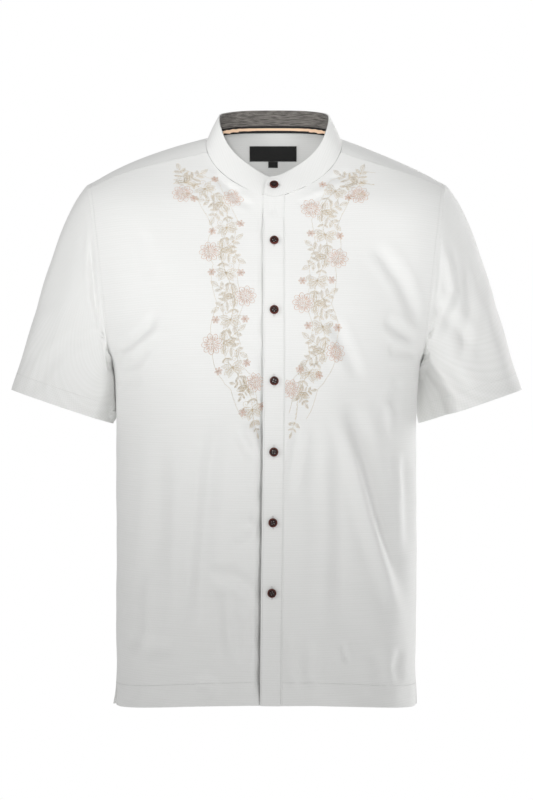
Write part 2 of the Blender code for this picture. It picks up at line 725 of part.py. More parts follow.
def make_label(name, width, height, top, wall, columns, finish):
    """A flat label on the inner face of the yoke, below the neck."""
    xs = np.linspace(-width / 2, width / 2, columns) + LABEL_X
    zs = np.linspace(top, top - height, 3)
    mesh = bpy.data.objects["yoke"].data
    tree = BVHTree.FromPolygons(
        [v.co for v in mesh.vertices], [f.vertices for f in mesh.polygons]
    )
    spots = [[inside_yoke(tree, x, z) for x in xs] for z in zs]
    way = np.array([[w for _, w in row] for row in spots])
    way[:] = unit(way.mean(axis=(0, 1)))
    points = np.array([[p for p, _ in row] for row in spots]) - way * LABEL_STANDOFF
    label = Surface({"left": points[::-1]})
    ways = np.zeros_like(label.place)
    ways[label.grids["left"]] = way[::-1]
    cloth(name, label.place, ways, label.faces(), wall, finish, gap=0)


def make_button(name, centre, out):
    """A round button with a raised rim and a dished face, square to the placket."""
    profile = (
        (0.0, 0.0), (0.84, 0.0), (1.0, 0.35), (0.97, 0.80),
        (0.88, 1.0), (0.77, 0.94), (0.66, 0.62), (0.0, 0.60),
    )  # shares of the radius and the thickness, from the back round to the face
    out = unit(out)
    side = unit(np.cross((0, 0, 1), out))
    up = np.cross(out, side)
    shape = bmesh.new()
    rings = []
    for radius, rise in profile:
        middle = centre + out * rise * BUTTON_THICK
        if radius == 0:
            rings.append([shape.verts.new(middle)])
            continue
        turns = np.arange(BUTTON_SIDES) * 2 * math.pi / BUTTON_SIDES
        rings.append([
            shape.verts.new(
                middle + BUTTON_RADIUS * radius * (math.cos(t) * side + math.sin(t) * up)
            )
            for t in turns
        ])
    for low, high in zip(rings, rings[1:]):
        for k in range(BUTTON_SIDES):
            n = (k + 1) % BUTTON_SIDES
            corners = [low[k % len(low)], low[n % len(low)],
                       high[n % len(high)], high[k % len(high)]]
            shape.faces.new(list(dict.fromkeys(corners)))
    finished(name, shape, BUTTON_BROWN)


def make_buttons(band, way, places):
    """One button on the band's end and six down the placket."""
    strip = body.grids["strip"]
    middle = body.place[strip[:, STRIP_CELLS // 2]]
    ways = body.normal[strip[:, STRIP_CELLS // 2]]
    rise = SHIRTING + 3 * SEAM_GAP + PLACKET_WALL
    for k in range(BUTTON_COUNT):
        height = FIRST_BUTTON - k * BUTTON_SPACING
        spot = [np.interp(height, middle[:, 2], middle[:, c]) for c in range(3)]
        out = unit(np.array([np.interp(height, middle[:, 2], ways[:, c]) for c in range(3)]))
        # a flat button on a bowed strip stands on the strip's highest line
        make_button(f"button_{k + 2}", np.array(spot) + out * (rise + 0.25 * MM), out)
    column = len(places) - 3
    spot = band[1, column] * 0.45 + band[2, column] * 0.55
    make_button("button_1", spot + way[column] * (SEAM_GAP + 0.35 * MM), way[column])


clear_scene()
body, bounds = make_body()
sleeves = {side: sleeve_surface(body, side) for side in (-1, 1)}
make_panels(body, bounds)
for side, name in ((-1, "sleeve_right"), (1, "sleeve_left")):
    sleeve, faces = sleeves[side]
    cloth(name, sleeve.place, sleeve.normal, faces, sleeve.thick, SHIRT_WHITE,
          seam=sleeve.seam)
band, way, up, places = make_collar()
make_tape(band, way, up, places)
make_label("label", *LABEL_SIZE, LABEL_TOP, LABEL_WALL, 9, LABEL_BLACK)
make_label("size_tab", *SIZE_TAB, LABEL_TOP - LABEL_SIZE[1] - SEAM_GAP, LABEL_WALL, 3,
           LABEL_BLACK)
make_buttons(band, way, places)
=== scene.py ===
# %% [markdown]
# # A formal shirt, dressed
# The CAD model gives the shirt's pieces their cut and their form: fronts, placket, back,
# yoke, sleeves and a stand collar, each a thin wall of cloth. Here each one is copied,
# made finer, creased as soft shirting creases, and given its weave, its stitching, its
# buttons and the embroidered garland down both sides of the placket.

# %% Load the frame and keep its box
import math

import bpy
import bmesh
import numpy as np
from mathutils import Matrix, Vector
from mathutils.bvhtree import BVHTree


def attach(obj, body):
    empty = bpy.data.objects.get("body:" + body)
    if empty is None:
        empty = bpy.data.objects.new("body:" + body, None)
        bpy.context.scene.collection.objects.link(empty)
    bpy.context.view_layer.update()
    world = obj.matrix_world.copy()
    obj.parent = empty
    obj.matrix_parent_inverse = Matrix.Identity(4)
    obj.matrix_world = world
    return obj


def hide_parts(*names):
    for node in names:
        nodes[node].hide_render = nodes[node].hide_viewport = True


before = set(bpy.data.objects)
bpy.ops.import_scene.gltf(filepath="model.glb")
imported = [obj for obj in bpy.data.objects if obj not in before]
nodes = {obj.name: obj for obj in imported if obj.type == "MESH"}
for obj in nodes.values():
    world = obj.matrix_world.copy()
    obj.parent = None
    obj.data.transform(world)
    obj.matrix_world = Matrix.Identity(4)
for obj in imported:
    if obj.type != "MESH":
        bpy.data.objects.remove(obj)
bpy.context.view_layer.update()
bpy.ops.object.select_all(action="DESELECT")
MM = 0.001
SHIFT = -0.010  # the body's middle, which hangs a little to one side of the neck
print("nodes:", ", ".join(sorted(nodes)))

# %% [markdown]
# ## Threads and weave
# Shirting is a plain weave: each thread goes over one and under the next. A texture of
# an image would blur up close, so the weave is worked out from the cloth's own UV map,
# which is in metres. First come a few small helpers, so that each material below can be
# read as a recipe: mix two colours, add soft noise, let a height stand out.

# %% Helpers for groups and materials
def new_group(name, inputs, outputs):
    """An empty shader node group with named inputs and outputs."""
    group = bpy.data.node_groups.new(name, "ShaderNodeTree")
    for label, kind, value in inputs:
        made = group.interface.new_socket(label, in_out="INPUT", socket_type=kind)
        if value is not None:
            made.default_value = value
    for label, kind in outputs:
        group.interface.new_socket(label, in_out="OUTPUT", socket_type=kind)
    return group, group.nodes.new("NodeGroupInput"), group.nodes.new("NodeGroupOutput")


def maths(tree, operation, *values):
    """A Math node: each value is a number or the socket that feeds it."""
    node = tree.nodes.new("ShaderNodeMath")
    node.operation = operation
    for socket, value in zip(node.inputs, values):
        if isinstance(value, (int, float)):
            socket.default_value = value
        else:
            tree.links.new(value, socket)
    return node.outputs[0]


def mix_colours(tree, first, second, factor, kind="MIX"):
    """A colour mix: each value is a colour or the socket that feeds it."""
    node = tree.nodes.new("ShaderNodeMix")
    node.data_type = "RGBA"
    node.blend_type = kind
    for label, value in (("A", first), ("B", second), ("Factor", factor)):
        if isinstance(value, tuple):
            node.inputs[label].default_value = (*value, 1)
        else:
            tree.links.new(value, node.inputs[label])
    return node.outputs["Result"]


def noise(tree, place, scale, detail=2.0):
    """Soft noise at the places that a socket gives."""
    node = tree.nodes.new("ShaderNodeTexNoise")
    node.inputs["Scale"].default_value = scale
    node.inputs["Detail"].default_value = detail
    tree.links.new(place, node.inputs["Vector"])
    return node.outputs[0]


def bump(tree, shader, height, strength, distance):
    """Let a height stand out of the surface."""
    node = tree.nodes.new("ShaderNodeBump")
    node.inputs["Strength"].default_value = strength
    node.inputs["Distance"].default_value = distance
    tree.links.new(height, node.inputs["Height"])
    tree.links.new(node.outputs[0], shader.inputs["Normal"])


def new_material(name, **values):
    """A material, its nodes, its shader with some values set, and the object's own places."""
    made = bpy.data.materials.new(name)
    made.use_nodes = True
    tree = made.node_tree
    shader = tree.nodes["Principled BSDF"]
    for label, value in values.items():
        shader.inputs[label.replace("_", " ")].default_value = value
    place = tree.nodes.new("ShaderNodeTexCoord").outputs["Object"]
    return made, tree, shader, place


print("helpers:", ", ".join(f.__name__ for f in (new_group, maths, mix_colours, noise, bump)))

# %% [markdown]
# One node group makes the weave, and each cloth uses it with its own thread pitch. The
# floors of both threads' numbers are added: where the sum is even, the warp is on top. A
# second group makes the faint ribs and the slubs that run across.

# %% The weave and the ribs
def make_weave():
    """Plain weave: which thread is on top, and how high the cloth stands."""
    tree, given, out = new_group(
        "Plain weave",
        [("Vector", "NodeSocketVector", None), ("Pitch", "NodeSocketFloat", 0.0005)],
        [("Height", "NodeSocketFloat"), ("Warp on top", "NodeSocketFloat")],
    )
    split = tree.nodes.new("ShaderNodeSeparateXYZ")
    tree.links.new(given.outputs["Vector"], split.inputs[0])
    across = maths(tree, "DIVIDE", split.outputs["X"], given.outputs["Pitch"])
    along = maths(tree, "DIVIDE", split.outputs["Y"], given.outputs["Pitch"])
    warp = maths(tree, "ABSOLUTE", maths(tree, "SINE", maths(tree, "MULTIPLY", across, math.pi)))
    weft = maths(tree, "ABSOLUTE", maths(tree, "SINE", maths(tree, "MULTIPLY", along, math.pi)))
    cells = maths(tree, "ADD", maths(tree, "FLOOR", across), maths(tree, "FLOOR", along))
    top = maths(tree, "PINGPONG", cells, 1.0)
    rest = maths(tree, "SUBTRACT", 1.0, top)
    height = maths(
        tree, "ADD", maths(tree, "MULTIPLY", warp, top), maths(tree, "MULTIPLY", weft, rest)
    )
    tree.links.new(height, out.inputs["Height"])
    tree.links.new(top, out.inputs["Warp on top"])
    return tree


def make_slubs():
    """Faint ribs across the cloth, and threads that are a little thicker in places."""
    tree, given, out = new_group(
        "Ribs and slubs",
        [("Vector", "NodeSocketVector", None), ("Rib", "NodeSocketFloat", 0.004)],
        [("Height", "NodeSocketFloat")],
    )
    split = tree.nodes.new("ShaderNodeSeparateXYZ")
    tree.links.new(given.outputs["Vector"], split.inputs[0])
    stretch = tree.nodes.new("ShaderNodeVectorMath")
    stretch.operation = "MULTIPLY"
    stretch.inputs[1].default_value = (18, 700, 1)
    tree.links.new(given.outputs["Vector"], stretch.inputs[0])
    slub = noise(tree, stretch.outputs[0], 1.0)
    turns = maths(tree, "DIVIDE", split.outputs["Y"], given.outputs["Rib"])
    rib = maths(tree, "SINE", maths(tree, "MULTIPLY", turns, 2 * math.pi))
    mixed = maths(tree, "MULTIPLY_ADD", maths(tree, "MULTIPLY_ADD", rib, 0.5, 0.5), 0.35, slub)
    tree.links.new(mixed, out.inputs["Height"])
    return tree


WEAVE, SLUBS = make_weave(), make_slubs()
print("groups:", WEAVE.name, "and", SLUBS.name)


# %% [markdown]
# ## The cloths
# The shirt is white, the band is lined with a grey chambray, and the label is black
# satin. All are the same kind of material: a colour, the weave as bump, a soft sheen,
# and a slow drift of tone, because cotton is never one flat white.

# %% A cloth material
def place_group(tree, group, **values):
    """A node group placed in a material, with its own values."""
    node = tree.nodes.new("ShaderNodeGroup")
    node.node_tree = group
    for key, value in values.items():
        node.inputs[key].default_value = value
    return node


def cloth_material(
    name, light, dark, pitch, rib, rough=0.85, relief=0.25, streak=1.0
):
    """Woven cloth: light warp and dark weft, with bump from the weave and the ribs."""
    made, tree, shader, place = new_material(
        name, Roughness=rough, Sheen_Weight=0.25, Sheen_Roughness=0.5, Specular_IOR_Level=0.25
    )
    uv = tree.nodes.new("ShaderNodeUVMap")
    uv.uv_map = "cloth"
    weave = place_group(tree, WEAVE, Pitch=pitch)
    slubs = place_group(tree, SLUBS, Rib=rib)
    tree.links.new(uv.outputs[0], weave.inputs["Vector"])
    tree.links.new(uv.outputs[0], slubs.inputs["Vector"])
    drift = noise(tree, place, 9.0, 3.0)
    colour = mix_colours(tree, dark, light, weave.outputs["Warp on top"])
    colour = mix_colours(tree, colour, (0.965, 0.965, 0.96), drift, "MULTIPLY")
    # painted shade: the cloth is darkened where the ribs and slubs are low, as if shade fell
    # between them
    between = maths(tree, "SUBTRACT", 1.0, slubs.outputs["Height"])
    colour = mix_colours(tree, colour, (0.935, 0.938, 0.93), between, "MULTIPLY")
    if streak < 1.0:  # yarn that was dyed unevenly, in slanting streaks
        turn = tree.nodes.new("ShaderNodeMapping")
        turn.inputs["Rotation"].default_value = (0, 0, math.radians(58))
        turn.inputs["Scale"].default_value = (90, 620, 1)
        tree.links.new(uv.outputs[0], turn.inputs["Vector"])
        uneven = noise(tree, turn.outputs[0], 1.0)
        sharp = maths(tree, "MULTIPLY_ADD", uneven, 4.0, -1.5)
        held = maths(tree, "MINIMUM", maths(tree, "MAXIMUM", sharp, 0.0), 1.0)
        colour = mix_colours(tree, colour, (streak, streak, streak), held, "MULTIPLY")
    tree.links.new(colour, shader.inputs["Base Color"])
    height = maths(
        tree, "MULTIPLY_ADD", slubs.outputs["Height"], 1.7, weave.outputs["Height"]
    )
    bump(tree, shader, height, relief, 0.00012)
    return made


WHITE = cloth_material("shirting", (0.84, 0.842, 0.832), (0.81, 0.812, 0.802), 0.0005, 0.0031)
CHAMBRAY = cloth_material(
    "chambray", (0.37, 0.345, 0.32), (0.10, 0.093, 0.087), 0.0011, 0.0042, relief=0.5, streak=0.42
)
SATIN = cloth_material(
    "label satin", (0.012, 0.012, 0.012), (0.006, 0.006, 0.006), 0.0004, 0.002, rough=0.55
)
print("cloths:", WHITE.name, CHAMBRAY.name, SATIN.name)


# %% [markdown]
# ## Creases, listed one by one
# Worn shirting hangs in soft troughs and ridges: from the chest down, from the underarm
# across, and down each sleeve. Each crease here is a bent line on the front or the back
# with a width and a depth. A low shoulder beside each trough is what makes it look like
# cloth and not like a dent. The same rule moves every piece, so that seams stay shut
# and the placket, the buttons and the stitches go with the cloth below them.

# %% Creases of the body
# face, points (x and height in mm), width mm, depth mm (negative for a ridge)
BODY_CREASES = [
    ("front", [(126, -129), (146, -152), (165, -180), (179, -209), (192, -245)], 8, 3.1),
    ("front", [(141, -229), (165, -245), (190, -263)], 7, 2.6),
    ("front", [(146, -273), (167, -271), (193, -273)], 7, 2.4),
    ("front", [(76, -227), (89, -262), (103, -291), (113, -314)], 7, 2.0),
    ("front", [(61, -235), (74, -268), (85, -299)], 6, -1.0),
    ("front", [
        (92, -325), (107, -374), (125, -435), (145, -502), (163, -567), (172, -618)
    ], 11, 6.0),
    ("front", [
        (84, -345), (96, -385), (106, -419), (122, -490), (141, -547), (158, -599), (173, -644)
    ], 9, -4.2),
    ("front", [(167, -309), (159, -330), (152, -353)], 7, 2.6),
    ("front", [(150, -335), (153, -387)], 5, -2.0),
    ("front", [(171, -406), (176, -464), (176, -548)], 7, 3.4),
    ("front", [(161, -399), (165, -477)], 5, -1.8),
    ("front", [(45, -371), (37, -419), (29, -464)], 8, -1.8),
    ("front", [(33, -367), (24, -419), (18, -470)], 6, 1.6),
    ("front", [(63, -350), (68, -502), (61, -644)], 9, -1.9),
    ("front", [(80, -387), (86, -502), (85, -644)], 9, 1.1),
    ("front", [(47, -709), (45, -680), (49, -644)], 7, 1.9),
    ("front", [(22, -706), (19, -670), (23, -631)], 7, 1.8),
    ("front", [(87, -649), (91, -663), (96, -676)], 3.5, 1.7),
    ("front", [(126, -657), (136, -680), (141, -721)], 9, 1.8),
    ("front", [(165, -709), (159, -685), (167, -657)], 6, 2.0),
    ("front", [(-209, -265), (-186, -258), (-165, -240), (-150, -217)], 6, 2.6),
    ("front", [(-206, -278), (-181, -273), (-160, -253), (-139, -240)], 6, -2.0),
    ("front", [(-206, -294), (-181, -286), (-163, -258)], 6, 2.2),
    ("front", [(-209, -314), (-191, -307), (-170, -309)], 7, 1.6),
    ("front", [(-67, -340), (-81, -416), (-90, -524), (-98, -634)], 9, -2.6),
    ("front", [(-88, -361), (-101, -438), (-109, -541), (-116, -644)], 9, 2.4),
    ("front", [(-74, -577), (-70, -675)], 6, -1.8),
    ("front", [(-61, -567), (-57, -670)], 6, 1.8),
    ("front", [(-53, -600), (-44, -675)], 6, -1.6),
    ("front", [(-147, -374), (-152, -490), (-160, -593)], 11, 2.0),
    ("front", [(-165, -554), (-164, -634), (-183, -680)], 7, -1.8),
    ("front", [(-127, -387), (-129, -515), (-134, -644)], 9, -1.5),
    ("front", [(-39, -365), (-29, -381), (-20, -399)], 6, -2.6),
    ("front", [(-49, -374), (-36, -394), (-24, -415)], 6, 2.2),
    ("front", [(-36, -490), (-27, -495), (-18, -500)], 5, -2.2),
    ("front", [(-54, -517), (-39, -506), (-21, -487)], 5, 2.4),
    ("front", [(-88, -558), (-54, -558), (-26, -577)], 7, -2.2),
    ("front", [(-80, -580), (-52, -577), (-29, -598)], 7, 2.4),
    ("front", [(-29, -593), (-26, -644), (-29, -696)], 6, -2.0),
    ("front", [(-174, -111), (-168, -142), (-161, -183)], 8, 1.6),
    ("front", [(-101, -709), (-88, -701), (-78, -721)], 8, 1.8),
    ("front", [(-196, -644), (-160, -660), (-121, -654)], 9, 1.5),
    ("front", [(-78, -26), (-60, -41), (-36, -59)], 4.5, -1.5),
    ("front", [(-83, -34), (-65, -52), (-44, -67)], 4.5, 1.6),
    ("front", [(-88, -23), (-72, -34), (-54, -49)], 3.5, 1.2),
    ("front", [(-67, -54), (-47, -72), (-24, -83)], 4.5, 1.2),
    ("front", [(74, -46), (90, -36), (100, -26)], 4.5, 1.5),
    ("front", [(51, -65), (72, -54), (92, -44)], 4.5, -1.3),
    ("front", [(31, -81), (54, -72), (74, -59)], 4.5, 1.2),
    ("front", [(-11, -83), (-3, -86), (7, -84)], 3.5, 1.4),
    ("back", [(-198, -250), (-168, -300), (-140, -370), (-124, -470)], 14, 4.2),
    ("back", [(180, -246), (150, -300), (122, -372), (104, -480)], 14, 4.4),
    ("back", [(-150, -236), (-110, -290), (-90, -360)], 12, 2.6),
    ("back", [(134, -230), (96, -292), (78, -366)], 12, 2.8),
    ("back", [(-60, -400), (-66, -520), (-60, -640), (-66, -740)], 17, 3.4),
    ("back", [(44, -380), (52, -500), (46, -620), (54, -740)], 17, 3.2),
    ("back", [(-6, -440), (-2, -560), (-8, -700)], 18, -2.4),
    ("back", [(-150, -520), (-146, -620), (-152, -738)], 15, 2.6),
    ("back", [(132, -520), (126, -620), (132, -738)], 15, 2.6),
]


print(len(BODY_CREASES), "creases on the body")


# %% [markdown]
# Each crease is strongest on its line and fades out to both sides and at both ends. A
# point of the cloth moves out from the body's middle by the sum of all the creases near
# it, and a little by slow swells, which no real cloth is without.

# %% How a crease moves the cloth
def along_line(p, points):
    """Distance from each point to a bent line, and how far along it, from 0 to 1."""
    line = np.array(points, float) * MM
    runs = np.linalg.norm(np.diff(line, axis=0), axis=1)
    total, done = runs.sum(), 0.0
    best = np.full(len(p), 1e9)
    share = np.zeros(len(p))
    for a, b, run in zip(line, line[1:], runs):
        way = b - a
        t = np.clip(((p - a) @ way) / (way @ way), 0, 1)
        gap = np.linalg.norm(p - (a + t[:, None] * way), axis=1)
        near = gap < best
        best = np.where(near, gap, best)
        share = np.where(near, (done + t * run) / total, share)
        done += run
    return best, share


def ease(v, low, high):
    """0 below low, 1 above high, and an even curve between."""
    t = np.clip((v - low) / (high - low), 0, 1)
    return t * t * (3 - 2 * t)


CREASE = 1.15  # all the creases together, deeper or shallower


def crease_profile(gap, share, width, depth):
    """A rounded trough with a low shoulder on both sides, fading at its ends."""
    u = gap / (width * MM)
    fade = ease(share, 0.0, 0.22) * (1 - ease(share, 0.72, 1.0))
    return -CREASE * depth * MM * (np.exp(-u * u) - 0.28 * np.exp(-((u - 2.0) ** 2) * 1.4)) * fade


def body_move(points):
    """How the creases move points of the body's cloth: out from the body's middle."""
    p = np.asarray(points, float)
    out = np.stack(
        [(p[:, 0] - SHIFT) / 0.205**2, p[:, 1] / 0.125**2, np.zeros(len(p))], axis=1
    )
    out /= np.maximum(np.linalg.norm(out, axis=1, keepdims=True), 1e-9)
    flat = p[:, [0, 2]]
    moved = np.zeros(len(p))
    for face, line, width, depth in BODY_CREASES:
        side = -p[:, 1] if face == "front" else p[:, 1]
        gap, share = along_line(flat, line)
        deeper = 1.0 if face == "front" else 1.7  # less light reaches the back
        moved += crease_profile(gap, share, width, depth * deeper) * ease(side, 0.0, 0.03)
    # slow, uneven swells everywhere, as in any soft cloth
    x, z = p[:, 0], p[:, 2]
    low = ease(-z, 0.12, 0.45)
    around = np.arctan2(x - SHIFT, -p[:, 1])
    moved += low * 0.9 * MM * np.sin(9 * around + 6 * z + 1.3) * np.sin(11 * z + 2 * around)
    moved += 0.35 * MM * np.sin(90 * x + 30 * z) * np.sin(70 * z - 25 * x) * low
    # the hem's stitching gathers the cloth a little
    gather = np.exp(-(((z + 0.722) / 0.016) ** 2))
    pucker = np.sin(150 * x + 3 * np.sin(31 * x)) * ease(np.abs(x + 0.004), 0.02, 0.05)
    moved += gather * 0.75 * MM * pucker
    moved *= ease(-z, -0.005, 0.05)  # the neck seam keeps its place
    return out * moved[:, None]


# %% Humps beside the placket
# beside the placket the lower front stands out in small humps, and dips under the edge
HUMPS = [  # height mm, reach mm, how far it stands out, and how deep the dip beside it is
    (-118, 18, 0.7, 1.3), (-176, 22, 1.0, 1.5), (-240, 18, 0.8, 1.1), (-292, 16, 1.1, 1.7),
    (-336, 10, 1.3, 1.5), (-380, 20, 2.2, 3.2), (-420, 16, 0.6, 2.4), (-455, 15, 2.0, 3.4),
    (-500, 20, 2.6, 3.6), (-545, 14, 1.0, 2.6), (-582, 22, 2.8, 4.2), (-640, 26, 2.2, 4.6),
    (-692, 20, 1.2, 4.0),
]


def beside_placket(points):
    """The lower front's humps along the placket's free edge."""
    x, z = points[:, 0], points[:, 2]
    moved = np.zeros_like(points)
    edge = -14 * MM - 4 * MM * ease(-z, 0.30, 0.729)
    gap = edge - x  # how far to the side of the placket's edge
    for height, reach, hump, dip in HUMPS:
        near = np.exp(-(((z - height * MM) / (reach * MM)) ** 2))
        moved[:, 1] -= hump * MM * near * np.exp(-(((gap - 14 * MM) / (10 * MM)) ** 2))
        moved[:, 1] += dip * MM * near * (1 - ease(gap, 1.0 * MM, 9 * MM))
    # under the edge itself the cloth drops away, which leaves a thin dark line
    wander = 0.5 + 0.5 * np.sin(105 * z + 2.2 * np.sin(47 * z))
    drop = (1.3 + 1.3 * ease(-z, 0.25, 0.45)) * MM
    moved[:, 1] += drop * (1 - ease(gap, 0.3 * MM, (2.4 + 2.6 * wander) * MM))
    moved[:, 1] *= ease(-z, 0.078, 0.092)
    return moved


print(len(HUMPS), "humps beside the placket")


# %% [markdown]
# ## Creases of the sleeves
# A sleeve is a tube, so its creases are placed by how far down it they are, from 0 at
# the armhole to 1 at the hem, and by the angle round it: 0 faces the side of the body,
# 90 the front, 180 outwards and 270 the back.

# %% Creases of the sleeves
# side, points (angle in degrees, share down), width mm, depth mm
SLEEVE_CREASES = [
    (1, [(30, 0.15), (75, 0.30), (118, 0.62)], 10, 3.6),
    (1, [(22, 0.40), (60, 0.62), (96, 0.95)], 9, 2.6),
    (1, [(100, -0.25), (97, 0.16), (63, 0.42), (24, 0.58)], 6, -3.0),
    (1, [(126, -0.1), (118, 0.3), (92, 0.6), (60, 0.78)], 9, 2.2),
    (1, [(92, -0.4), (80, 0.0), (68, 0.28), (52, 0.42)], 5, 2.2),
    (-1, [(100, -0.4), (88, -0.05), (74, 0.20), (58, 0.36), (34, 0.60)], 5, 4.6),
    (1, [(150, 0.20), (142, 0.55), (150, 1.0)], 13, -2.0),
    (1, [(300, 0.10), (262, 0.45), (238, 0.9)], 11, 3.4),
    (1, [(205, 0.30), (215, 0.75)], 12, 1.8),
    (-1, [(35, 0.30), (70, 0.42), (104, 0.60)], 9, 2.6),
    (-1, [(96, 0.55), (122, 0.72), (136, 0.98)], 9, 2.0),
    (-1, [(150, 0.30), (158, 0.75)], 13, -1.6),
    (-1, [(305, 0.12), (265, 0.42), (242, 0.85)], 11, 3.6),
    (-1, [(210, 0.30), (220, 0.80)], 12, 1.8),
]
TUCK = {1: (42, 50), -1: (14, 16)}  # how far round the fold gets, degrees, and how deep, mm
ARM_TOP = Vector((0.232, 0.004, -0.165))
ARM_END = Vector((0.274, 0.003, -0.344))


# the armhole seam, from under the arm up the front and down the back: x, y, z in mm,
# as the CAD source has it
ARMHOLE = [
    (207, 0, -284), (211, -40, -266), (216, -60, -216), (222, -64, -158), (229, -55, -107),
    (234, -40, -74), (238, -23, -55), (242, 6, -47), (241, 32, -59), (237, 52, -85),
    (233, 61, -110), (225, 68, -160), (217, 62, -216), (211, 42, -266), (207, 0, -284),
]


def from_armhole(points, side):
    """Distance of each point to the armhole seam of one side."""
    return along_line(points, [(side * x + SHIFT / MM, y, z) for x, y, z in ARMHOLE])[0]


def sleeve_place(points, side):
    """Angle round a sleeve, share down it, radius, and the way out from its axis."""
    p = np.asarray(points, float)
    flip = np.array([side, 1, 1])
    top = np.array(ARM_TOP) * flip + (SHIFT, 0, 0)
    end = np.array(ARM_END) * flip + (SHIFT, 0, 0)
    length = np.linalg.norm(end - top)
    axis = (end - top) / length
    share = (p - top) @ axis / length
    off = p - top - np.outer((p - top) @ axis, axis)
    radius = np.linalg.norm(off, axis=1)
    inward = np.array([-side, 0, 0]) - axis * (axis @ (-side, 0, 0))
    inward /= np.linalg.norm(inward)
    front = np.array([0.0, -1.0, 0.0])
    angle = np.degrees(np.arctan2(off @ front, off @ inward)) % 360
    return angle, share, radius, off / np.maximum(radius, 1e-6)[:, None]


def sleeve_move(points, side):
    """How the creases move points of a sleeve."""
    angle, share, radius, out = sleeve_place(points, side)
    moved = np.zeros(len(out))
    girth = 0.062 * math.pi / 180
    for which, line, width, depth in SLEEVE_CREASES:
        if which != side:
            continue
        track = [(a * girth / MM, s * 184) for a, s in line]
        here = np.stack([angle * girth, share * 0.184], axis=1)
        gap, run = along_line(here, track)
        moved += crease_profile(gap, run, width, depth)
    moved += 0.7 * MM * np.sin(np.radians(4 * angle) + 9 * share) * np.sin(7 * share + 1)
    # the underarm keeps its place, and the creases fade out above the armhole's middle
    clear = 1 - np.cos(np.radians(angle))
    moved *= ease(clear, 0.02, 0.5) * ease(share, -0.75, 0.12)
    total = out * moved[:, None]
    # the side that faces the body falls back behind a fold that runs out from the underarm
    signed = (angle + 180) % 360 - 180
    fold, back = TUCK[side]
    edge = 22 + fold * ease(share, 0.1, 1.0)
    total[:, 1] += (
        back * MM * ease(share, 0.06, 0.6)
        * (1 - ease(signed, edge - 15, edge)) * ease(signed, -30, 4)
    )
    return total


print(len(SLEEVE_CREASES), "creases on the sleeves")


# %% [markdown]
# ## From a CAD wall to a cloth
# The CAD wall is made of triangles, with a sharp rim where the cloth ends. Its copy is
# merged, turned back into quads, and its rim is creased so that it stays crisp. It is
# then unwrapped, which gives back the flat pattern that a cutter would lay out, and
# that pattern, turned upright and scaled to metres, is the UV map for the weave. Last
# it is subdivided, so that it can take a crease a few millimetres wide.

# %% Selecting, reading and moving
def only(piece):
    """Select one piece and make it active."""
    bpy.ops.object.select_all(action="DESELECT")
    piece.select_set(True)
    bpy.context.view_layer.objects.active = piece


def points_of(piece):
    flat = np.empty(len(piece.data.vertices) * 3)
    piece.data.vertices.foreach_get("co", flat)
    return flat.reshape(-1, 3)


def put_points(piece, points):
    piece.data.vertices.foreach_set("co", np.ascontiguousarray(points).ravel())
    piece.data.update()


def tree_of(*pieces):
    """A search tree of the faces of some pieces."""
    verts, faces = [], []
    for piece in pieces:
        base = len(verts)
        verts.extend(map(Vector, points_of(piece)))
        faces.extend(tuple(base + v for v in f.vertices) for f in piece.data.polygons)
    return BVHTree.FromPolygons(verts, faces)


print("helpers:", ", ".join(f.__name__ for f in (only, points_of, put_points, tree_of)))

# %% [markdown]
# An unwrapped pattern lies at any angle and at any scale. It is turned so that up on
# the shirt is up on the pattern, which gives the weave its grain, and scaled until it
# has the area of the real wall. The box round it is the flat size of the piece.

# %% Upright flat patterns
def upright_pattern(piece):
    """Turn each UV island so that up is up, and scale it to metres."""
    mesh = piece.data
    shape = bmesh.new()
    shape.from_mesh(mesh)
    layer = shape.loops.layers.uv.verify()
    seen, flats = set(), []
    shape.faces.ensure_lookup_table()
    for first in shape.faces:
        if first in seen:
            continue
        island, queue = [], [first]
        seen.add(first)
        while queue:
            face = queue.pop()
            island.append(face)
            for edge in face.edges:
                for other in edge.link_faces if not edge.seam else ():
                    if other not in seen:
                        seen.add(other)
                        queue.append(other)
        loops = [loop for face in island for loop in face.loops]
        uv = np.array([loop[layer].uv[:] for loop in loops], float)
        place = np.array([loop.vert.co[:] for loop in loops], float)
        real = sum(face.calc_area() for face in island)
        flat = 0.0
        for face in island:
            ring = [loop[layer].uv for loop in face.loops]
            flat += 0.5 * abs(sum(a.cross(b) for a, b in zip(ring, ring[1:] + ring[:1])))
        scale = math.sqrt(real / max(flat, 1e-12))
        known = np.column_stack([uv, np.ones(len(uv))])
        up = np.linalg.lstsq(known, place[:, 2], rcond=None)[0][:2]
        up = up / max(np.linalg.norm(up), 1e-9)
        turned = np.column_stack([uv @ (up[1], -up[0]), uv @ up]) * scale
        for loop, value in zip(loops, turned):
            loop[layer].uv = value
        size = turned.max(axis=0) - turned.min(axis=0)
        flats.append((real, float(size[0]), float(size[1])))
    shape.to_mesh(mesh)
    shape.free()
    return max(flats)


print("patterns are turned by", upright_pattern.__name__)


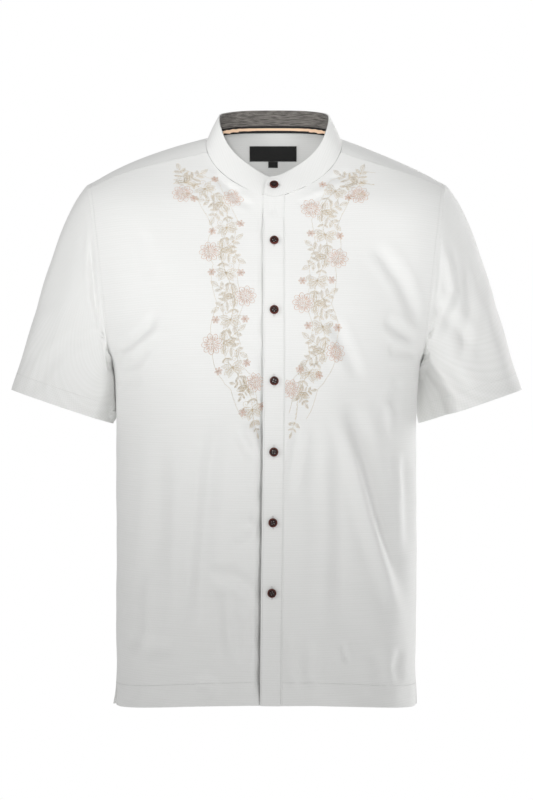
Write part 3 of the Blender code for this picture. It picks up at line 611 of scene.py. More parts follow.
# %% The shell maker
def cloth_shell(node, material, levels=3, under=None):
    """A fine copy of a CAD wall with its flat pattern as UV map."""
    piece = bpy.data.objects.new(node + "_cloth", nodes[node].data.copy())
    bpy.context.scene.collection.objects.link(piece)
    piece.data.materials.clear()
    piece.data.materials.append(material)
    only(piece)
    bpy.ops.mesh.customdata_custom_splitnormals_clear()
    while piece.data.uv_layers:
        piece.data.uv_layers.remove(piece.data.uv_layers[0])
    piece.data.uv_layers.new(name="cloth")
    bpy.ops.object.mode_set(mode="EDIT")
    bpy.ops.mesh.select_mode(type="EDGE")
    bpy.ops.mesh.select_all(action="SELECT")
    bpy.ops.mesh.remove_doubles(threshold=0.00001)
    bpy.ops.mesh.tris_convert_to_quads(
        face_threshold=math.radians(40), shape_threshold=math.radians(50)
    )
    bpy.ops.mesh.select_all(action="DESELECT")
    bpy.ops.mesh.edges_select_sharp(sharpness=math.radians(48))
    bpy.ops.transform.edge_crease(value=1.0)
    bpy.ops.mesh.mark_seam(clear=False)
    if under is not None:  # a tube also opens along the seam under the arm
        shape = bmesh.from_edit_mesh(piece.data)
        bpy.ops.mesh.select_all(action="DESELECT")
        along = [
            edge for edge in shape.edges
            if not edge.seam
            and abs((edge.verts[0].co - edge.verts[1].co).normalized().dot(under[1])) > 0.85
        ]
        for wall in (0.0, 1.2 * MM):
            middle = under[0] + Vector((math.copysign(wall, under[0].x), 0, 0))
            near = min(along, key=lambda e: ((e.verts[0].co + e.verts[1].co) / 2 - middle).length)
            near.select_set(True)
            along.remove(near)
        bmesh.update_edit_mesh(piece.data)
        bpy.ops.mesh.loop_multi_select(ring=False)
        bpy.ops.mesh.mark_seam(clear=False)
    bpy.ops.mesh.select_all(action="SELECT")
    bpy.ops.uv.unwrap(method="ANGLE_BASED", margin=0.002)
    bpy.ops.object.mode_set(mode="OBJECT")
    area, wide, tall = upright_pattern(piece)
    piece["flat"] = (wide, tall)
    piece["flat_area"] = area
    finer = piece.modifiers.new("finer", "SUBSURF")
    finer.levels = finer.render_levels = levels
    bpy.ops.object.modifier_apply(modifier=finer.name)
    bpy.ops.object.shade_smooth_by_angle(angle=math.radians(48))
    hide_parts(node)
    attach(piece, "root")
    print(f"{node}: {len(piece.data.polygons)} faces, flat {wide:.3f} x {tall:.3f} m")
    return piece

# %% [markdown]
# The tape inside the neck is black with a peach stripe. The stripe needs to know how far
# across the tape a point is, so that share is kept as an attribute of its points.

# %% The striped neck tape
def striped_tape():
    """Woven tape, black at both edges and peach down its middle."""
    made = SATIN.copy()
    made.name = "striped tape"
    tree = made.node_tree
    shader = tree.nodes["Principled BSDF"]
    shader.inputs["Roughness"].default_value = 0.6
    plain = shader.inputs["Base Color"].links[0].from_socket
    across = tree.nodes.new("ShaderNodeAttribute")
    across.attribute_name = "across"
    above = maths(tree, "GREATER_THAN", across.outputs["Fac"], 0.36)
    below = maths(tree, "LESS_THAN", across.outputs["Fac"], 0.68)
    middle = maths(tree, "MULTIPLY", above, below)
    peach = mix_colours(tree, plain, (0.95, 0.66, 0.46), middle)
    tree.links.new(peach, shader.inputs["Base Color"])
    return made


def share_up(p):
    """How far up a band each point is, from 0 at its lower edge to 1 at its upper."""
    bins = 60
    angle = np.degrees(np.arctan2(p[:, 0], p[:, 1] + 0.02)) % 360
    row = (angle / 360 * bins).astype(int) % bins
    low, high = np.full(bins, np.nan), np.full(bins, np.nan)
    for k in range(bins):
        if (row == k).any():
            low[k], high[k] = p[row == k, 2].min(), p[row == k, 2].max()
    low = np.fmin(low, np.fmin(np.roll(low, 1), np.roll(low, -1)))
    high = np.fmax(high, np.fmax(np.roll(high, 1), np.roll(high, -1)))
    return (p[:, 2] - low[row]) / (high[row] - low[row])


def mark_across(piece):
    """Keep that share as an attribute, for the stripes of the tape."""
    mark = piece.data.attributes.new("across", "FLOAT", "POINT")
    mark.data.foreach_set("value", share_up(points_of(piece)).astype(np.float32))


TAPE = striped_tape()
print("tape:", TAPE.name)

# %% [markdown]
# Now every cloth is made. The large pieces are subdivided three times, which leaves
# faces about 3 mm long. A sleeve also gets a seam under the arm, where it is sewn.

# %% Make every cloth
shells = {}
for node in ("front_left", "front_right", "back", "yoke"):
    shells[node] = cloth_shell(node, WHITE)
for node in ("placket", "collar_band"):
    shells[node] = cloth_shell(node, WHITE, 2)
for node, side in (("sleeve_left", 1), ("sleeve_right", -1)):
    seam = Vector((side * 0.216 + SHIFT, 0.004, -0.30)), Vector((side * 0.2, 0, -1)).normalized()
    shells[node] = cloth_shell(node, WHITE, under=seam)
shells["collar_lining"] = cloth_shell("collar_lining", CHAMBRAY, 2)
shells["neck_tape"] = cloth_shell("neck_tape", TAPE, 2)
mark_across(shells["neck_tape"])
shells["label"] = cloth_shell("label", SATIN, 1)
shells["size_tab"] = cloth_shell("size_tab", SATIN, 1)

# %% [markdown]
# The creases are laid on now. Near an armhole both the body and the sleeve keep their
# place, so that the seam between them stays shut.

# %% Crease the body and the sleeves
def held_at_armhole(points):
    """0 where a body piece meets a sleeve, rising to 1 a few centimetres from it."""
    gap = np.minimum(from_armhole(points, 1), from_armhole(points, -1))
    return ease(gap, 1.5 * MM, 26 * MM)[:, None]


for node in ("front_left", "front_right", "back", "yoke", "placket"):
    p = points_of(shells[node])
    moved = body_move(p) * held_at_armhole(p)
    if node == "front_right":
        moved += beside_placket(p) * (p[:, 1] < -0.03)[:, None]
    put_points(shells[node], p + moved)
for node, side in (("sleeve_left", 1), ("sleeve_right", -1)):
    p = points_of(shells[node])
    free = ease(from_armhole(p, side), 0.8 * MM, 9 * MM)
    put_points(shells[node], p + sleeve_move(p, side) * free[:, None])
print("creased:", sum(len(s.data.polygons) for s in shells.values()), "faces in all")

# %% Press the edges of the band and the placket
# the lower edge of the band is turned under and laps over the neck seam
band = shells["collar_band"]
p = points_of(band)
share = share_up(p)
out = p - np.array([SHIFT * 0.4, 0.01, 0])
out[:, 2] = 0
out /= np.linalg.norm(out, axis=1, keepdims=True)
low = (1 - ease(share, 0.0, 0.16))[:, None]
put_points(band, p + low * (out * 0.25 * MM - np.array([0, 0, 1.5 * MM])))
# the placket's sewn edge is pressed down on the front below it
p = points_of(shells["placket"])
edge = 14 * MM - 4 * MM * ease(-p[:, 2], 0.30, 0.729) - p[:, 0]
p[:, 1] += 0.9 * MM * (1 - ease(edge, 0.0, 2.4 * MM))
put_points(shells["placket"], p)
print("pressed: collar band and placket")

# %% [markdown]
# A soft sleeve doesn't stand off from the body but hangs against it. Where the body is
# less than a centimetre from the sleeve's inner side, that side is moved up to it.

# %% Lay the sleeves against the body
side_tree = tree_of(*(shells[n] for n in ("front_left", "front_right", "back")))
armhole_tree = tree_of(*(shells[n] for n in ("front_left", "front_right", "back", "yoke")))
for node, side in (("sleeve_left", 1), ("sleeve_right", -1)):
    piece = shells[node]
    p = points_of(piece)
    angle, share, _, out = sleeve_place(p, side)
    normals = np.array([v.normal[:] for v in piece.data.vertices])
    inner = (normals * out).sum(axis=1) < 0
    seam = from_armhole(p, side)
    for i in np.flatnonzero((share > 0.3) & (np.cos(np.radians(angle)) > 0.55)):
        hit = side_tree.ray_cast(Vector(p[i]), Vector((-side, 0, 0)), 0.014)
        if hit[0] is not None:
            room = hit[3] - (1.2 * MM if inner[i] else 0.0)
            near = (1 - float(ease(room, 5 * MM, 10 * MM))) * float(ease(seam[i], 1 * MM, 7 * MM))
            p[i, 0] -= side * max(0.0, room - 0.5 * MM) * near
    # and its seam is shut
    for i in np.flatnonzero(seam < 5 * MM):
        found = armhole_tree.find_nearest(Vector(p[i]), 0.004)
        if found[0] is not None:
            shut = 1 - float(ease(found[3], 1 * MM, 4 * MM))
            shut *= 1 - float(ease(seam[i], 2 * MM, 5 * MM))
            p[i] += (np.array(found[0][:]) - p[i]) * shut
    put_points(piece, p)
    print(node, "moved up to the body and shut at the armhole")

# %% [markdown]
# Each cloth keeps the size of its flat pattern, which is what would have to be cut, and
# here that size is read back for every piece.

for node, piece in shells.items():
    wide, tall = piece["flat"]
    if node == "size_tab":  # a loop of ribbon, folded double
        tall *= 2

# %% [markdown]
# ## Sewing
# A stitch is a short grain of thread that stands on the cloth. One grain is modelled
# from a small sphere with its middle drawn out, and every seam and every petal is then
# a row of copies of it, each laid between two points of the cloth. So many copies are
# joined in one mesh, and each has only sixteen triangles.

# %% One stitch and rows of it
def grain_of_thread():
    """One stitch along X, one long and one wide."""
    bpy.ops.mesh.primitive_uv_sphere_add(
        segments=4, ring_count=4, radius=0.5, rotation=(0, math.pi / 2, 0)
    )
    grain = bpy.context.object
    bpy.ops.object.transform_apply(location=False, rotation=True, scale=False)
    bpy.ops.object.mode_set(mode="EDIT")
    shape = bmesh.from_edit_mesh(grain.data)
    bpy.ops.mesh.select_all(action="DESELECT")
    middle = [v for v in shape.verts if abs(v.co.x) < 0.01]
    bmesh.ops.dissolve_verts(shape, verts=middle)
    for vert in shape.verts:
        if abs(vert.co.x) < 0.45:
            vert.co.x *= 0.95
            vert.co.y *= 1.3
            vert.co.z *= 1.3
    bmesh.update_edit_mesh(grain.data)
    bpy.ops.object.mode_set(mode="OBJECT")
    places = points_of(grain).copy()
    faces = [tuple(face.vertices) for face in grain.data.polygons]
    bpy.data.objects.remove(grain, do_unlink=True)
    return places, faces


GRAIN, GRAIN_FACES = grain_of_thread()
print("one stitch:", len(GRAIN), "points,", len(GRAIN_FACES), "faces")


# %% A row of stitches
def sew(name, starts, ends, normals, width, material, lift=0.1):
    """A row of stitches as one piece: width in mm, lift as a share of the width."""
    starts, ends, normals = (np.asarray(v, float) for v in (starts, ends, normals))
    way = ends - starts
    long = np.linalg.norm(way, axis=1)
    keep = long > 0.0002
    starts, ends, normals, way, long = (v[keep] for v in (starts, ends, normals, way, long))
    way = way / long[:, None]
    side = np.cross(normals, way)
    side /= np.maximum(np.linalg.norm(side, axis=1, keepdims=True), 1e-9)
    up = np.cross(way, side)
    wide = np.broadcast_to(np.asarray(width, float) * MM, keep.shape)[keep]
    middle = (starts + ends) / 2 + up * (wide * lift)[:, None]
    places = (
        middle[:, None]
        + way[:, None] * (GRAIN[None, :, 0, None] * (long * 1.12)[:, None, None])
        + side[:, None] * (GRAIN[None, :, 1, None] * wide[:, None, None])
        + up[:, None] * (GRAIN[None, :, 2, None] * (wide * 0.7)[:, None, None])
    ).reshape(-1, 3)
    count = len(GRAIN)
    faces = [
        tuple(corner + count * row for corner in face)
        for row in range(len(starts)) for face in GRAIN_FACES
    ]
    mesh = bpy.data.meshes.new(name)
    mesh.from_pydata(places.tolist(), [], faces)
    mesh.shade_smooth()
    piece = bpy.data.objects.new(name, mesh)
    bpy.context.scene.collection.objects.link(piece)
    piece.data.materials.append(material)
    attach(piece, "root")
    print(f"{name}: {len(starts)} stitches")
    return piece


# %% Four threads
def thread_material(name, colour):
    """Twisted thread: fine slanted ridges, and a colour that drifts a little."""
    made, tree, shader, place = new_material(name, Roughness=0.5, Sheen_Weight=0.3)
    dark = tuple(c * 0.82 for c in colour)
    light = tuple(min(1.0, c * 1.15) for c in colour)
    drift = noise(tree, place, 260.0)
    tree.links.new(mix_colours(tree, dark, light, drift), shader.inputs["Base Color"])
    ridges = tree.nodes.new("ShaderNodeTexWave")
    ridges.bands_direction = "DIAGONAL"
    ridges.inputs["Scale"].default_value = 900.0
    tree.links.new(place, ridges.inputs["Vector"])
    bump(tree, shader, ridges.outputs[0], 0.3, 0.00006)
    return made


SEWING = thread_material("sewing thread", (0.72, 0.72, 0.71))
TAN = thread_material("tan embroidery thread", (0.66, 0.53, 0.34))
ROSE = thread_material("rust rose embroidery thread", (0.64, 0.29, 0.12))
DARK = thread_material("button thread", (0.03, 0.02, 0.018))
print("threads:", ", ".join(thread.name for thread in (SEWING, TAN, ROSE, DARK)))


# %% Finding the cloth below a stitch
def on_surface(tree, points):
    """The nearest points of the cloth, and its normals there."""
    found = [tree.find_nearest(Vector(p)) for p in points]
    return np.array([f[0][:] for f in found]), np.array([f[1][:] for f in found])


def from_front(tree, x, z):
    """The cloth's outer face as seen from the front, at x and height."""
    hit = tree.ray_cast(Vector((x, -1, z)), Vector((0, 1, 0)))
    return None if hit[0] is None else (np.array(hit[0][:]), np.array(hit[1][:]))


def even(points, pitch):
    """A line of points, spaced evenly."""
    points = np.asarray(points, float)
    run = np.concatenate([[0], np.cumsum(np.linalg.norm(np.diff(points, axis=0), axis=1))])
    steps = max(2, int(round(run[-1] / pitch)) + 1)
    wanted = np.linspace(0, run[-1], steps)
    return np.stack([np.interp(wanted, run, points[:, k]) for k in range(3)], axis=1)


FILL = 0.72  # share of the pitch that shows as thread, the rest is the gap


def topstitch(name, tree, lines, pitch=2.6, width=0.55):
    """A line of sewing machine stitches along each line of points, laid on the cloth."""
    starts, ends, normals = [], [], []
    for line in lines:
        place, normal = on_surface(tree, even(line, pitch * MM))
        step = place[1:] - place[:-1]
        near = np.linalg.norm(step, axis=1) < 3 * pitch * MM
        starts.append((place[:-1] + step * (1 - FILL) / 2)[near])
        ends.append((place[1:] - step * (1 - FILL) / 2)[near])
        normals.append((normal[:-1] + normal[1:])[near] / 2)
    return sew(name, *(np.concatenate(v) for v in (starts, ends, normals)), width, SEWING)


# %% Lines along seams and edges
def seam_line(piece, other_tree, inset, key, bins=60):
    """A line on a piece, inset in mm from where it meets another piece, sorted by key."""
    places = points_of(piece)
    near = [
        i for i, p in enumerate(places)
        if other_tree.find_nearest(Vector(p), 1.2 * MM)[0] is not None
    ]
    places = places[near]
    sort = key(places)
    low, high = sort.min(), sort.max()
    row = np.clip(((sort - low) / (high - low) * bins).astype(int), 0, bins - 1)
    line = np.array([places[row == k].mean(axis=0) for k in range(bins) if (row == k).any()])
    for _ in range(2):
        line[1:-1] = (line[:-2] + 2 * line[1:-1] + line[2:]) / 4
    own = tree_of(piece)
    out = line - np.array([SHIFT, 0.0, -0.25])
    out /= np.linalg.norm(out, axis=1, keepdims=True)
    way = np.gradient(line, axis=0)
    aside = np.cross(way, out)
    aside /= np.linalg.norm(aside, axis=1, keepdims=True)
    result = []
    for p, o, c in zip(line, out, aside):
        two = [p + c * sign * inset * MM for sign in (1, -1)]
        far = [own.find_nearest(Vector(q))[3] for q in two]
        result.append(two[int(far[1] < far[0])] + o * 1.5 * MM)
    return np.array(result), own


def round_edge(tree, places, angle_of, level_of, ray, up, bins):
    """A line round a tube, up mm from its lowest edge."""
    angle, level = angle_of(places), level_of(places)
    row = (angle / 360 * bins).astype(int) % bins
    edge = np.full(bins, np.nan)
    for k in range(bins):
        if (row == k).any():
            edge[k] = level[row == k].min()
    # a bin with no point on the very edge takes its neighbour's
    edge = np.fmin(edge, np.fmin(np.roll(edge, 1), np.roll(edge, -1)))
    edge = (np.roll(edge, 1) + 2 * edge + np.roll(edge, -1)) / 4
    line = []
    for k in range(bins + 1):
        if not np.isnan(edge[k % bins]):
            start, way = ray((k % bins + 0.5) * 360 / bins, edge[k % bins] + up * MM)
            hit = tree.ray_cast(Vector(start), Vector(way))
            if hit[0] is not None:
                line.append(hit[0][:])
    return np.array(line)


# %% [markdown]
# ## Buttons
# A shirt button has a rounded rim, a sunken face and four holes with the thread
# through them. It is modelled once: a disc, its face inset and pushed in, its rim
# bevelled, and its holes cut by four small rods. Its copies are laid in the places of
# the CAD buttons, each turned as the cloth lies there.

# %% A button
def horn(name, dark, light):
    """Horn with slow clouds of a second brown and a dull polish."""
    made, tree, shader, place = new_material(name, Roughness=0.5, Specular_IOR_Level=0.3)
    cloud = maths(tree, "POWER", noise(tree, place, 260.0, 4.0), 2.0)
    tree.links.new(mix_colours(tree, dark, light, cloud), shader.inputs["Base Color"])
    return made


HORN = horn("dark horn", (0.008, 0.004, 0.003), (0.07, 0.014, 0.008))
RIM = horn("button rim", (0.05, 0.012, 0.008), (0.26, 0.05, 0.03))
HOLES = [(-1.35, -1.35), (1.35, -1.35), (1.35, 1.35), (-1.35, 1.35)]  # mm from the middle


def model_button(radius, thick):
    """One button, lying face up at the origin."""
    bpy.ops.object.select_all(action="DESELECT")
    bpy.ops.mesh.primitive_cylinder_add(vertices=40, radius=radius, depth=thick)
    button = bpy.context.object
    button.name = "button"
    button.data.materials.append(HORN)
    button.data.materials.append(RIM)
    bpy.ops.object.mode_set(mode="EDIT")
    bpy.ops.mesh.select_mode(type="FACE")
    bpy.ops.mesh.select_all(action="DESELECT")
    shape = bmesh.from_edit_mesh(button.data)
    shape.faces.ensure_lookup_table()
    for face in shape.faces:
        face.select = face.normal.z > 0.9
    bmesh.update_edit_mesh(button.data)
    bpy.ops.mesh.inset(thickness=radius * 0.2)
    bpy.ops.mesh.inset(thickness=radius * 0.08)
    bpy.ops.transform.translate(value=(0, 0, -thick * 0.28))
    bpy.ops.object.mode_set(mode="OBJECT")
    for face in button.data.polygons:
        out = math.hypot(face.center.x, face.center.y) / radius
        face.material_index = int(out > 0.78)
    bevel = button.modifiers.new("rounded", "BEVEL")
    bevel.width = thick * 0.28
    bevel.segments = 3
    bevel.limit_method = "ANGLE"
    bevel.angle_limit = math.radians(50)
    bpy.ops.object.modifier_apply(modifier=bevel.name)
    for x, y in HOLES:
        bpy.ops.mesh.primitive_cylinder_add(
            vertices=14, radius=0.85 * MM, depth=thick * 3, location=(x * MM, y * MM, 0)
        )
        rod = bpy.context.object
        only(button)
        hole = button.modifiers.new("hole", "BOOLEAN")
        hole.object = rod
        bpy.ops.object.modifier_apply(modifier=hole.name)
        bpy.data.objects.remove(rod, do_unlink=True)
    only(button)
    bpy.ops.object.shade_smooth_by_angle(angle=math.radians(35))
    return button


pattern = model_button(5.8 * MM, 2.6 * MM)
print("button:", len(pattern.data.polygons), "faces")


# %% Sew on seven buttons
def button_frame(node):
    """The middle of a CAD button and its three directions, the last one outward."""
    places = points_of(nodes[node])
    middle = places.mean(axis=0)
    _, _, ways = np.linalg.svd(places - middle)
    out = ways[2] if ways[2][1] < 0 else -ways[2]
    right = np.array([1.0, 0, 0]) - out * out[0]
    right /= np.linalg.norm(right)
    return middle, right, np.cross(out, right), out


thread_from, thread_to, thread_up = [], [], []
for number in range(1, 8):
    node = f"button_{number}"
    middle, right, up, out = button_frame(node)
    moved = body_move([middle])[0] if number > 1 else np.zeros(3)
    button = bpy.data.objects.new(f"{node}_horn", pattern.data.copy())
    bpy.context.scene.collection.objects.link(button)
    turn = np.stack([right, up, out], axis=1)
    spin = np.array(Matrix.Rotation(math.radians(17 * number), 3, "Z"))
    put_points(button, points_of(button) @ (turn @ spin).T + middle + moved)
    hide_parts(node)
    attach(button, "root")
    corners = [middle + moved + (turn @ spin) @ (np.array([x, y, 0.95]) * MM) for x, y in HOLES]
    for a, b in ((0, 2), (1, 3), (0, 2), (1, 3)):
        offset = right * 0.25 * MM * (1 if len(thread_from) % 4 > 1 else -1)
        thread_from.append(corners[a] + offset)
        thread_to.append(corners[b] + offset)
        thread_up.append(out)
bpy.data.objects.remove(pattern, do_unlink=True)
sew("button_threads", thread_from, thread_to, thread_up, 0.55, DARK)

# %% [markdown]
# ## Topstitching
# Seams are held flat by a second row of stitches close beside them: along the yoke,
# round the armholes, round both edges of the collar band, down the placket, and along
# the turned-up hems of the sleeves and the body.

# %% Yoke seam, hems and armholes
HEM_TURN, CUFF_TURN = 30, 24  # how deep the hems are turned up, mm
SEAM_INSET, ARMHOLE_INSET = 1.8, 7.0  # from the seam to its stitches, mm
body = [shells[n] for n in ("front_left", "front_right", "back", "yoke")]
body_tree = tree_of(*body)
lines = []
for node in ("front_left", "front_right", "back"):
    meets = tree_of(shells[node])
    line, yoke_tree = seam_line(shells["yoke"], meets, SEAM_INSET, lambda p: p[:, 0])
    lines.append(line)
topstitch("yoke_stitches", yoke_tree, lines)

hem_places = np.concatenate([points_of(piece) for piece in body])
hem = round_edge(
    body_tree, hem_places,
    lambda p: np.degrees(np.arctan2(p[:, 0] - SHIFT, -p[:, 1])) % 360,
    lambda p: p[:, 2],
    lambda a, z: (
        (SHIFT + math.sin(math.radians(a)), -math.cos(math.radians(a)), z),
        (-math.sin(math.radians(a)), math.cos(math.radians(a)), 0),
    ),
    HEM_TURN, bins=120,
)
topstitch("hem_stitches", body_tree, [hem])

for name, side in (("left", 1), ("right", -1)):
    sleeve = shells[f"sleeve_{name}"]
    flip = np.array([side, 1, 1])
    end = np.array(ARM_END) * flip + (SHIFT, 0, 0)
    axis = np.array(ARM_END - ARM_TOP) * flip
    axis /= np.linalg.norm(axis)
    inward = np.array([-side, 0, 0]) + axis * side * axis[0]
    inward /= np.linalg.norm(inward)

    def cast(angle, level):
        turn = math.radians(angle)
        way = inward * math.cos(turn) - np.array([0, 1, 0]) * math.sin(turn)
        start = end + axis * (-level)
        return start + way * 0.2, -way

    cuff = round_edge(
        tree_of(sleeve), points_of(sleeve),
        lambda p: sleeve_place(p, side)[0],
        lambda p: -(p - end) @ axis,
        cast, CUFF_TURN, bins=45,
    )
    topstitch(f"cuff_stitches_{name}", tree_of(sleeve), [cuff])

    arm_lines = []
    sleeve_tree = tree_of(sleeve)
    for node in (f"front_{name}", "yoke", "back"):
        key = (lambda p: p[:, 1]) if node == "yoke" else (lambda p: p[:, 2])
        line, _ = seam_line(shells[node], sleeve_tree, ARMHOLE_INSET, key, bins=40)
        arm_lines.append(line)
    topstitch(f"armhole_stitches_{name}", body_tree, arm_lines)

# %% [markdown]
# The placket is sewn down both its edges and the band round both of its own. The
# buttonholes stand upright on the placket and lie across on the band, and the label and
# its size tab are stitched round.

# %% Placket and collar band
placket_tree = tree_of(shells["placket"])
for_edge = []
for offset in (12.2, -12.2):
    row = [
        from_front(placket_tree, (offset - 4 * float(ease(-z * MM, 0.30, 0.729))) * MM, z * MM)
        for z in range(-96, -742, -6)
    ]
    for_edge.append([place[0] for place in row if place is not None])
topstitch("placket_stitches", placket_tree, [line for line in for_edge if len(line) > 3])

band_tree = tree_of(band)
places = points_of(band)
for share, name in ((0.10, "lower"), (0.90, "upper")):
    near = places[np.abs(share_up(places) - share) < 0.07]
    angle = np.arctan2(near[:, 0], near[:, 1] + 0.02)
    rows = [near[np.abs(angle - a) < 0.06] for a in np.linspace(-3.1, 3.1, 72)]
    far = []  # the outer face only: the six farthest points of each row
    for row in [row for row in rows if len(row)]:
        order = np.argsort(-np.hypot(row[:, 0], row[:, 1] + 0.02))
        far.append(row[order[:6]].mean(axis=0))
    topstitch(f"band_stitches_{name}", band_tree, [far], pitch=2.4, width=0.45)

# %% Buttonholes
starts, ends, ups = [], [], []
for number in range(1, 8):
    middle, right, up, out = button_frame(f"button_{number}")
    middle = middle + (body_move([middle])[0] if number > 1 else 0)
    along, aside = (right, up) if number == 1 else (up, right)
    tree = band_tree if number == 1 else placket_tree
    # stitches half a millimetre apart, but none under the button itself
    for k in [k for k in range(-17, 18) if abs(k) > 9]:
        for sign in (-1, 1):
            two = [
                middle + (along * k * 0.5 + aside * sign * reach) * MM for reach in (0.25, 1.15)
            ]
            found = [tree.find_nearest(Vector(q)) for q in two]
            starts.append(found[0][0][:])
            ends.append(found[1][0][:])
            ups.append(found[0][1][:])
sew("buttonhole_stitches", starts, ends, ups, 0.42, SEWING)

# %% Label and size tab
for node in ("label", "size_tab"):
    places = points_of(shells[node])
    low, high = places.min(axis=0), places.max(axis=0)
    inset = 1.2 * MM
    corners = [
        (low[0] + inset, low[2] + inset), (high[0] - inset, low[2] + inset),
        (high[0] - inset, high[2] - inset), (low[0] + inset, high[2] - inset),
    ]
    tree = tree_of(shells[node])
    edge = []
    for a, b in zip(corners, corners[1:] + corners[:1]):
        for t in np.linspace(0, 1, 12)[:-1]:
            hit = from_front(tree, a[0] + (b[0] - a[0]) * t, a[1] + (b[1] - a[1]) * t)
            if hit is not None:
                edge.append(hit[0])
    edge.append(edge[0])
    place, normal = on_surface(tree, even(edge, 1.6 * MM))
    step = place[1:] - place[:-1]
    starts, ends = place[:-1] + step * 0.15, place[1:] - step * 0.15
    sew(f"{node}_stitches", starts, ends, normal[1:], 0.3, DARK)

# %% [markdown]
# ## The garland
# An embroidered garland comes down from both shoulders, beside the placket, and closes
# in on it half way down. It is a design made for this shirt: a waving stem with open
# daisies in rust rose, fern sprays and leaf pairs in tan, and curled tendrils. Each
# motif is drawn flat, in millimetres, as a list of stitches, and then laid on the
# cloth where the stem passes, in the cloth's own slope, so none is stretched.

# %% Lines and leaves
# a stitch is x0, y0, x1, y1, width; all in mm
def run_of(points, step, width):
    """Stem stitches along a line of points."""
    points = np.asarray(points, float)
    run = np.concatenate([[0], np.cumsum(np.linalg.norm(np.diff(points, axis=0), axis=1))])
    count = max(1, int(round(run[-1] / step)))
    wanted = np.linspace(0, run[-1], count + 1)
    line = np.stack([np.interp(wanted, run, points[:, k]) for k in (0, 1)], axis=1)
    return [(*a, *b, width) for a, b in zip(line, line[1:])]


def turned(stitches, angle, x=0.0, y=0.0, mirror=1):
    """The same stitches, mirrored, turned by an angle and moved."""
    c, s = math.cos(angle), math.sin(angle)
    made = []
    for x0, y0, x1, y1, width in stitches:
        ends = []
        for a, b in ((x0 * mirror, y0), (x1 * mirror, y1)):
            ends += [x + a * c - b * s, y + a * s + b * c]
        made.append((*ends, width))
    return made


THREAD = 0.44  # width of the embroidery thread as it lies, mm


def leaf(length, wide):
    """A satin-stitched leaf along +Y: slanted stitches on both sides of its vein."""
    made = []
    width = 0.46
    count = int(length / 1.15)
    for row in range(1, count):
        t = row / count
        half = wide * math.sin(math.pi * t**0.8) ** 0.9
        for sign in (1, -1):
            made.append((0.25 * sign, t * length, sign * half, t * length + half * 0.55, width))
    return made + run_of([(0, 0), (0, length)], 2.4, width * 0.8)


def outline_leaf(length, wide, width=THREAD):
    """An open leaf: its edge in stem stitch, and a vein with short ribs."""
    t = np.linspace(0, 1, 15)
    half = wide * np.sin(math.pi * t**0.85)
    made = run_of(np.column_stack([half, t * length]), 1.7, width)
    made += run_of(np.column_stack([-half, t * length]), 1.7, width)
    made += run_of([(0, 0), (0, length * 0.8)], 1.9, width)
    for share in (0.3, 0.45, 0.6, 0.72):
        reach = wide * math.sin(math.pi * share**0.85) * 0.72
        for sign in (1, -1):
            foot = share * length
            made.append((0, foot, sign * reach, foot + reach * 0.6, width * 0.9))
    return made


print("leaf", len(leaf(12, 2.4)), "open leaf", len(outline_leaf(15, 3.6)), "stitches")


# %% Daisy, fern and curl
def daisy(radius, petals=9, width=0.5):
    """An open daisy: looped petals with a rib in each, round a ring of small stitches."""
    made = []
    inner = radius * 0.30
    for k in range(petals):
        t = np.linspace(0, 1, 9)
        half = radius * 0.235 * np.sin(math.pi * np.clip(t, 0, 1) ** 1.25) ** 0.75
        out = inner + t * (radius - inner)
        edge = np.concatenate([
            np.column_stack([half, out]), np.column_stack([-half, out])[::-1]
        ])
        petal = run_of(edge, 1.6, width)
        petal.append((0, inner + 1.0, 0, radius * 0.78, width))
        for sign in (1, -1):
            tip = (sign * radius * 0.11, radius * 0.7)
            petal.append((sign * 0.5, inner + 2.0, *tip, width * 0.85))
        made += turned(petal, 2 * math.pi * k / petals)
    ring = np.linspace(0, 2 * math.pi, 17)
    made += run_of(np.column_stack([np.sin(ring), np.cos(ring)]) * inner * 0.8, 1.5, width)
    for k in range(6):
        made += turned([(0, 0.3, 0, inner * 0.6, width)], math.pi / 3 * k)
    return made


def fern(length, pairs):
    """A spray: a stem with pairs of leaves that get smaller, and one at its tip."""
    made = run_of([(0, 0), (0.6, length * 0.4), (0, length * 0.8)], 2.0, THREAD)
    for k in range(pairs):
        t = k / pairs
        size = length * (0.42 - 0.20 * t)
        for sign in (1, -1):
            one = outline_leaf(size, size * 0.24) if k % 2 == 0 else leaf(size, size * 0.2)
            made += turned(one, -sign * math.radians(62 - 14 * t), 0, length * (0.10 + 0.66 * t))
    return made + turned(outline_leaf(length * 0.34, length * 0.085), 0, 0, length * 0.72)


def tendril(size):
    """A curl that winds in."""
    t = np.linspace(0, 1, 26)
    angle = t * 1.3 * 2 * math.pi
    radius = size * (1 - 0.82 * t)
    x = np.concatenate([[0], size * 0.9 - radius * np.cos(angle)])
    y = np.concatenate([[-size * 0.9], radius * np.sin(angle)])
    return run_of(np.column_stack([x, y]), 1.5, THREAD)


print("daisy", len(daisy(14)), "fern", len(fern(30, 3)), "curl", len(tendril(4.6)), "stitches")

# %% [markdown]
# The garland follows a band from the shoulder to the placket. Its stem swings from side
# to side of the band's middle, and the swing gets smaller near the lower end.

# %% The line of the stem
# the middle of the band, in mm: x from the middle of the placket, and height
BAND = [
    (134, -48), (118, -40), (101, -44), (85, -60), (72, -84), (63, -116), (59, -160),
    (60, -200), (59, -240), (56, -276), (47, -306), (34, -334), (25, -362),
]
STEM_STEP = 1.5  # between two points of the stem, mm
WAVE = 122.0  # length of one wave of the stem, mm


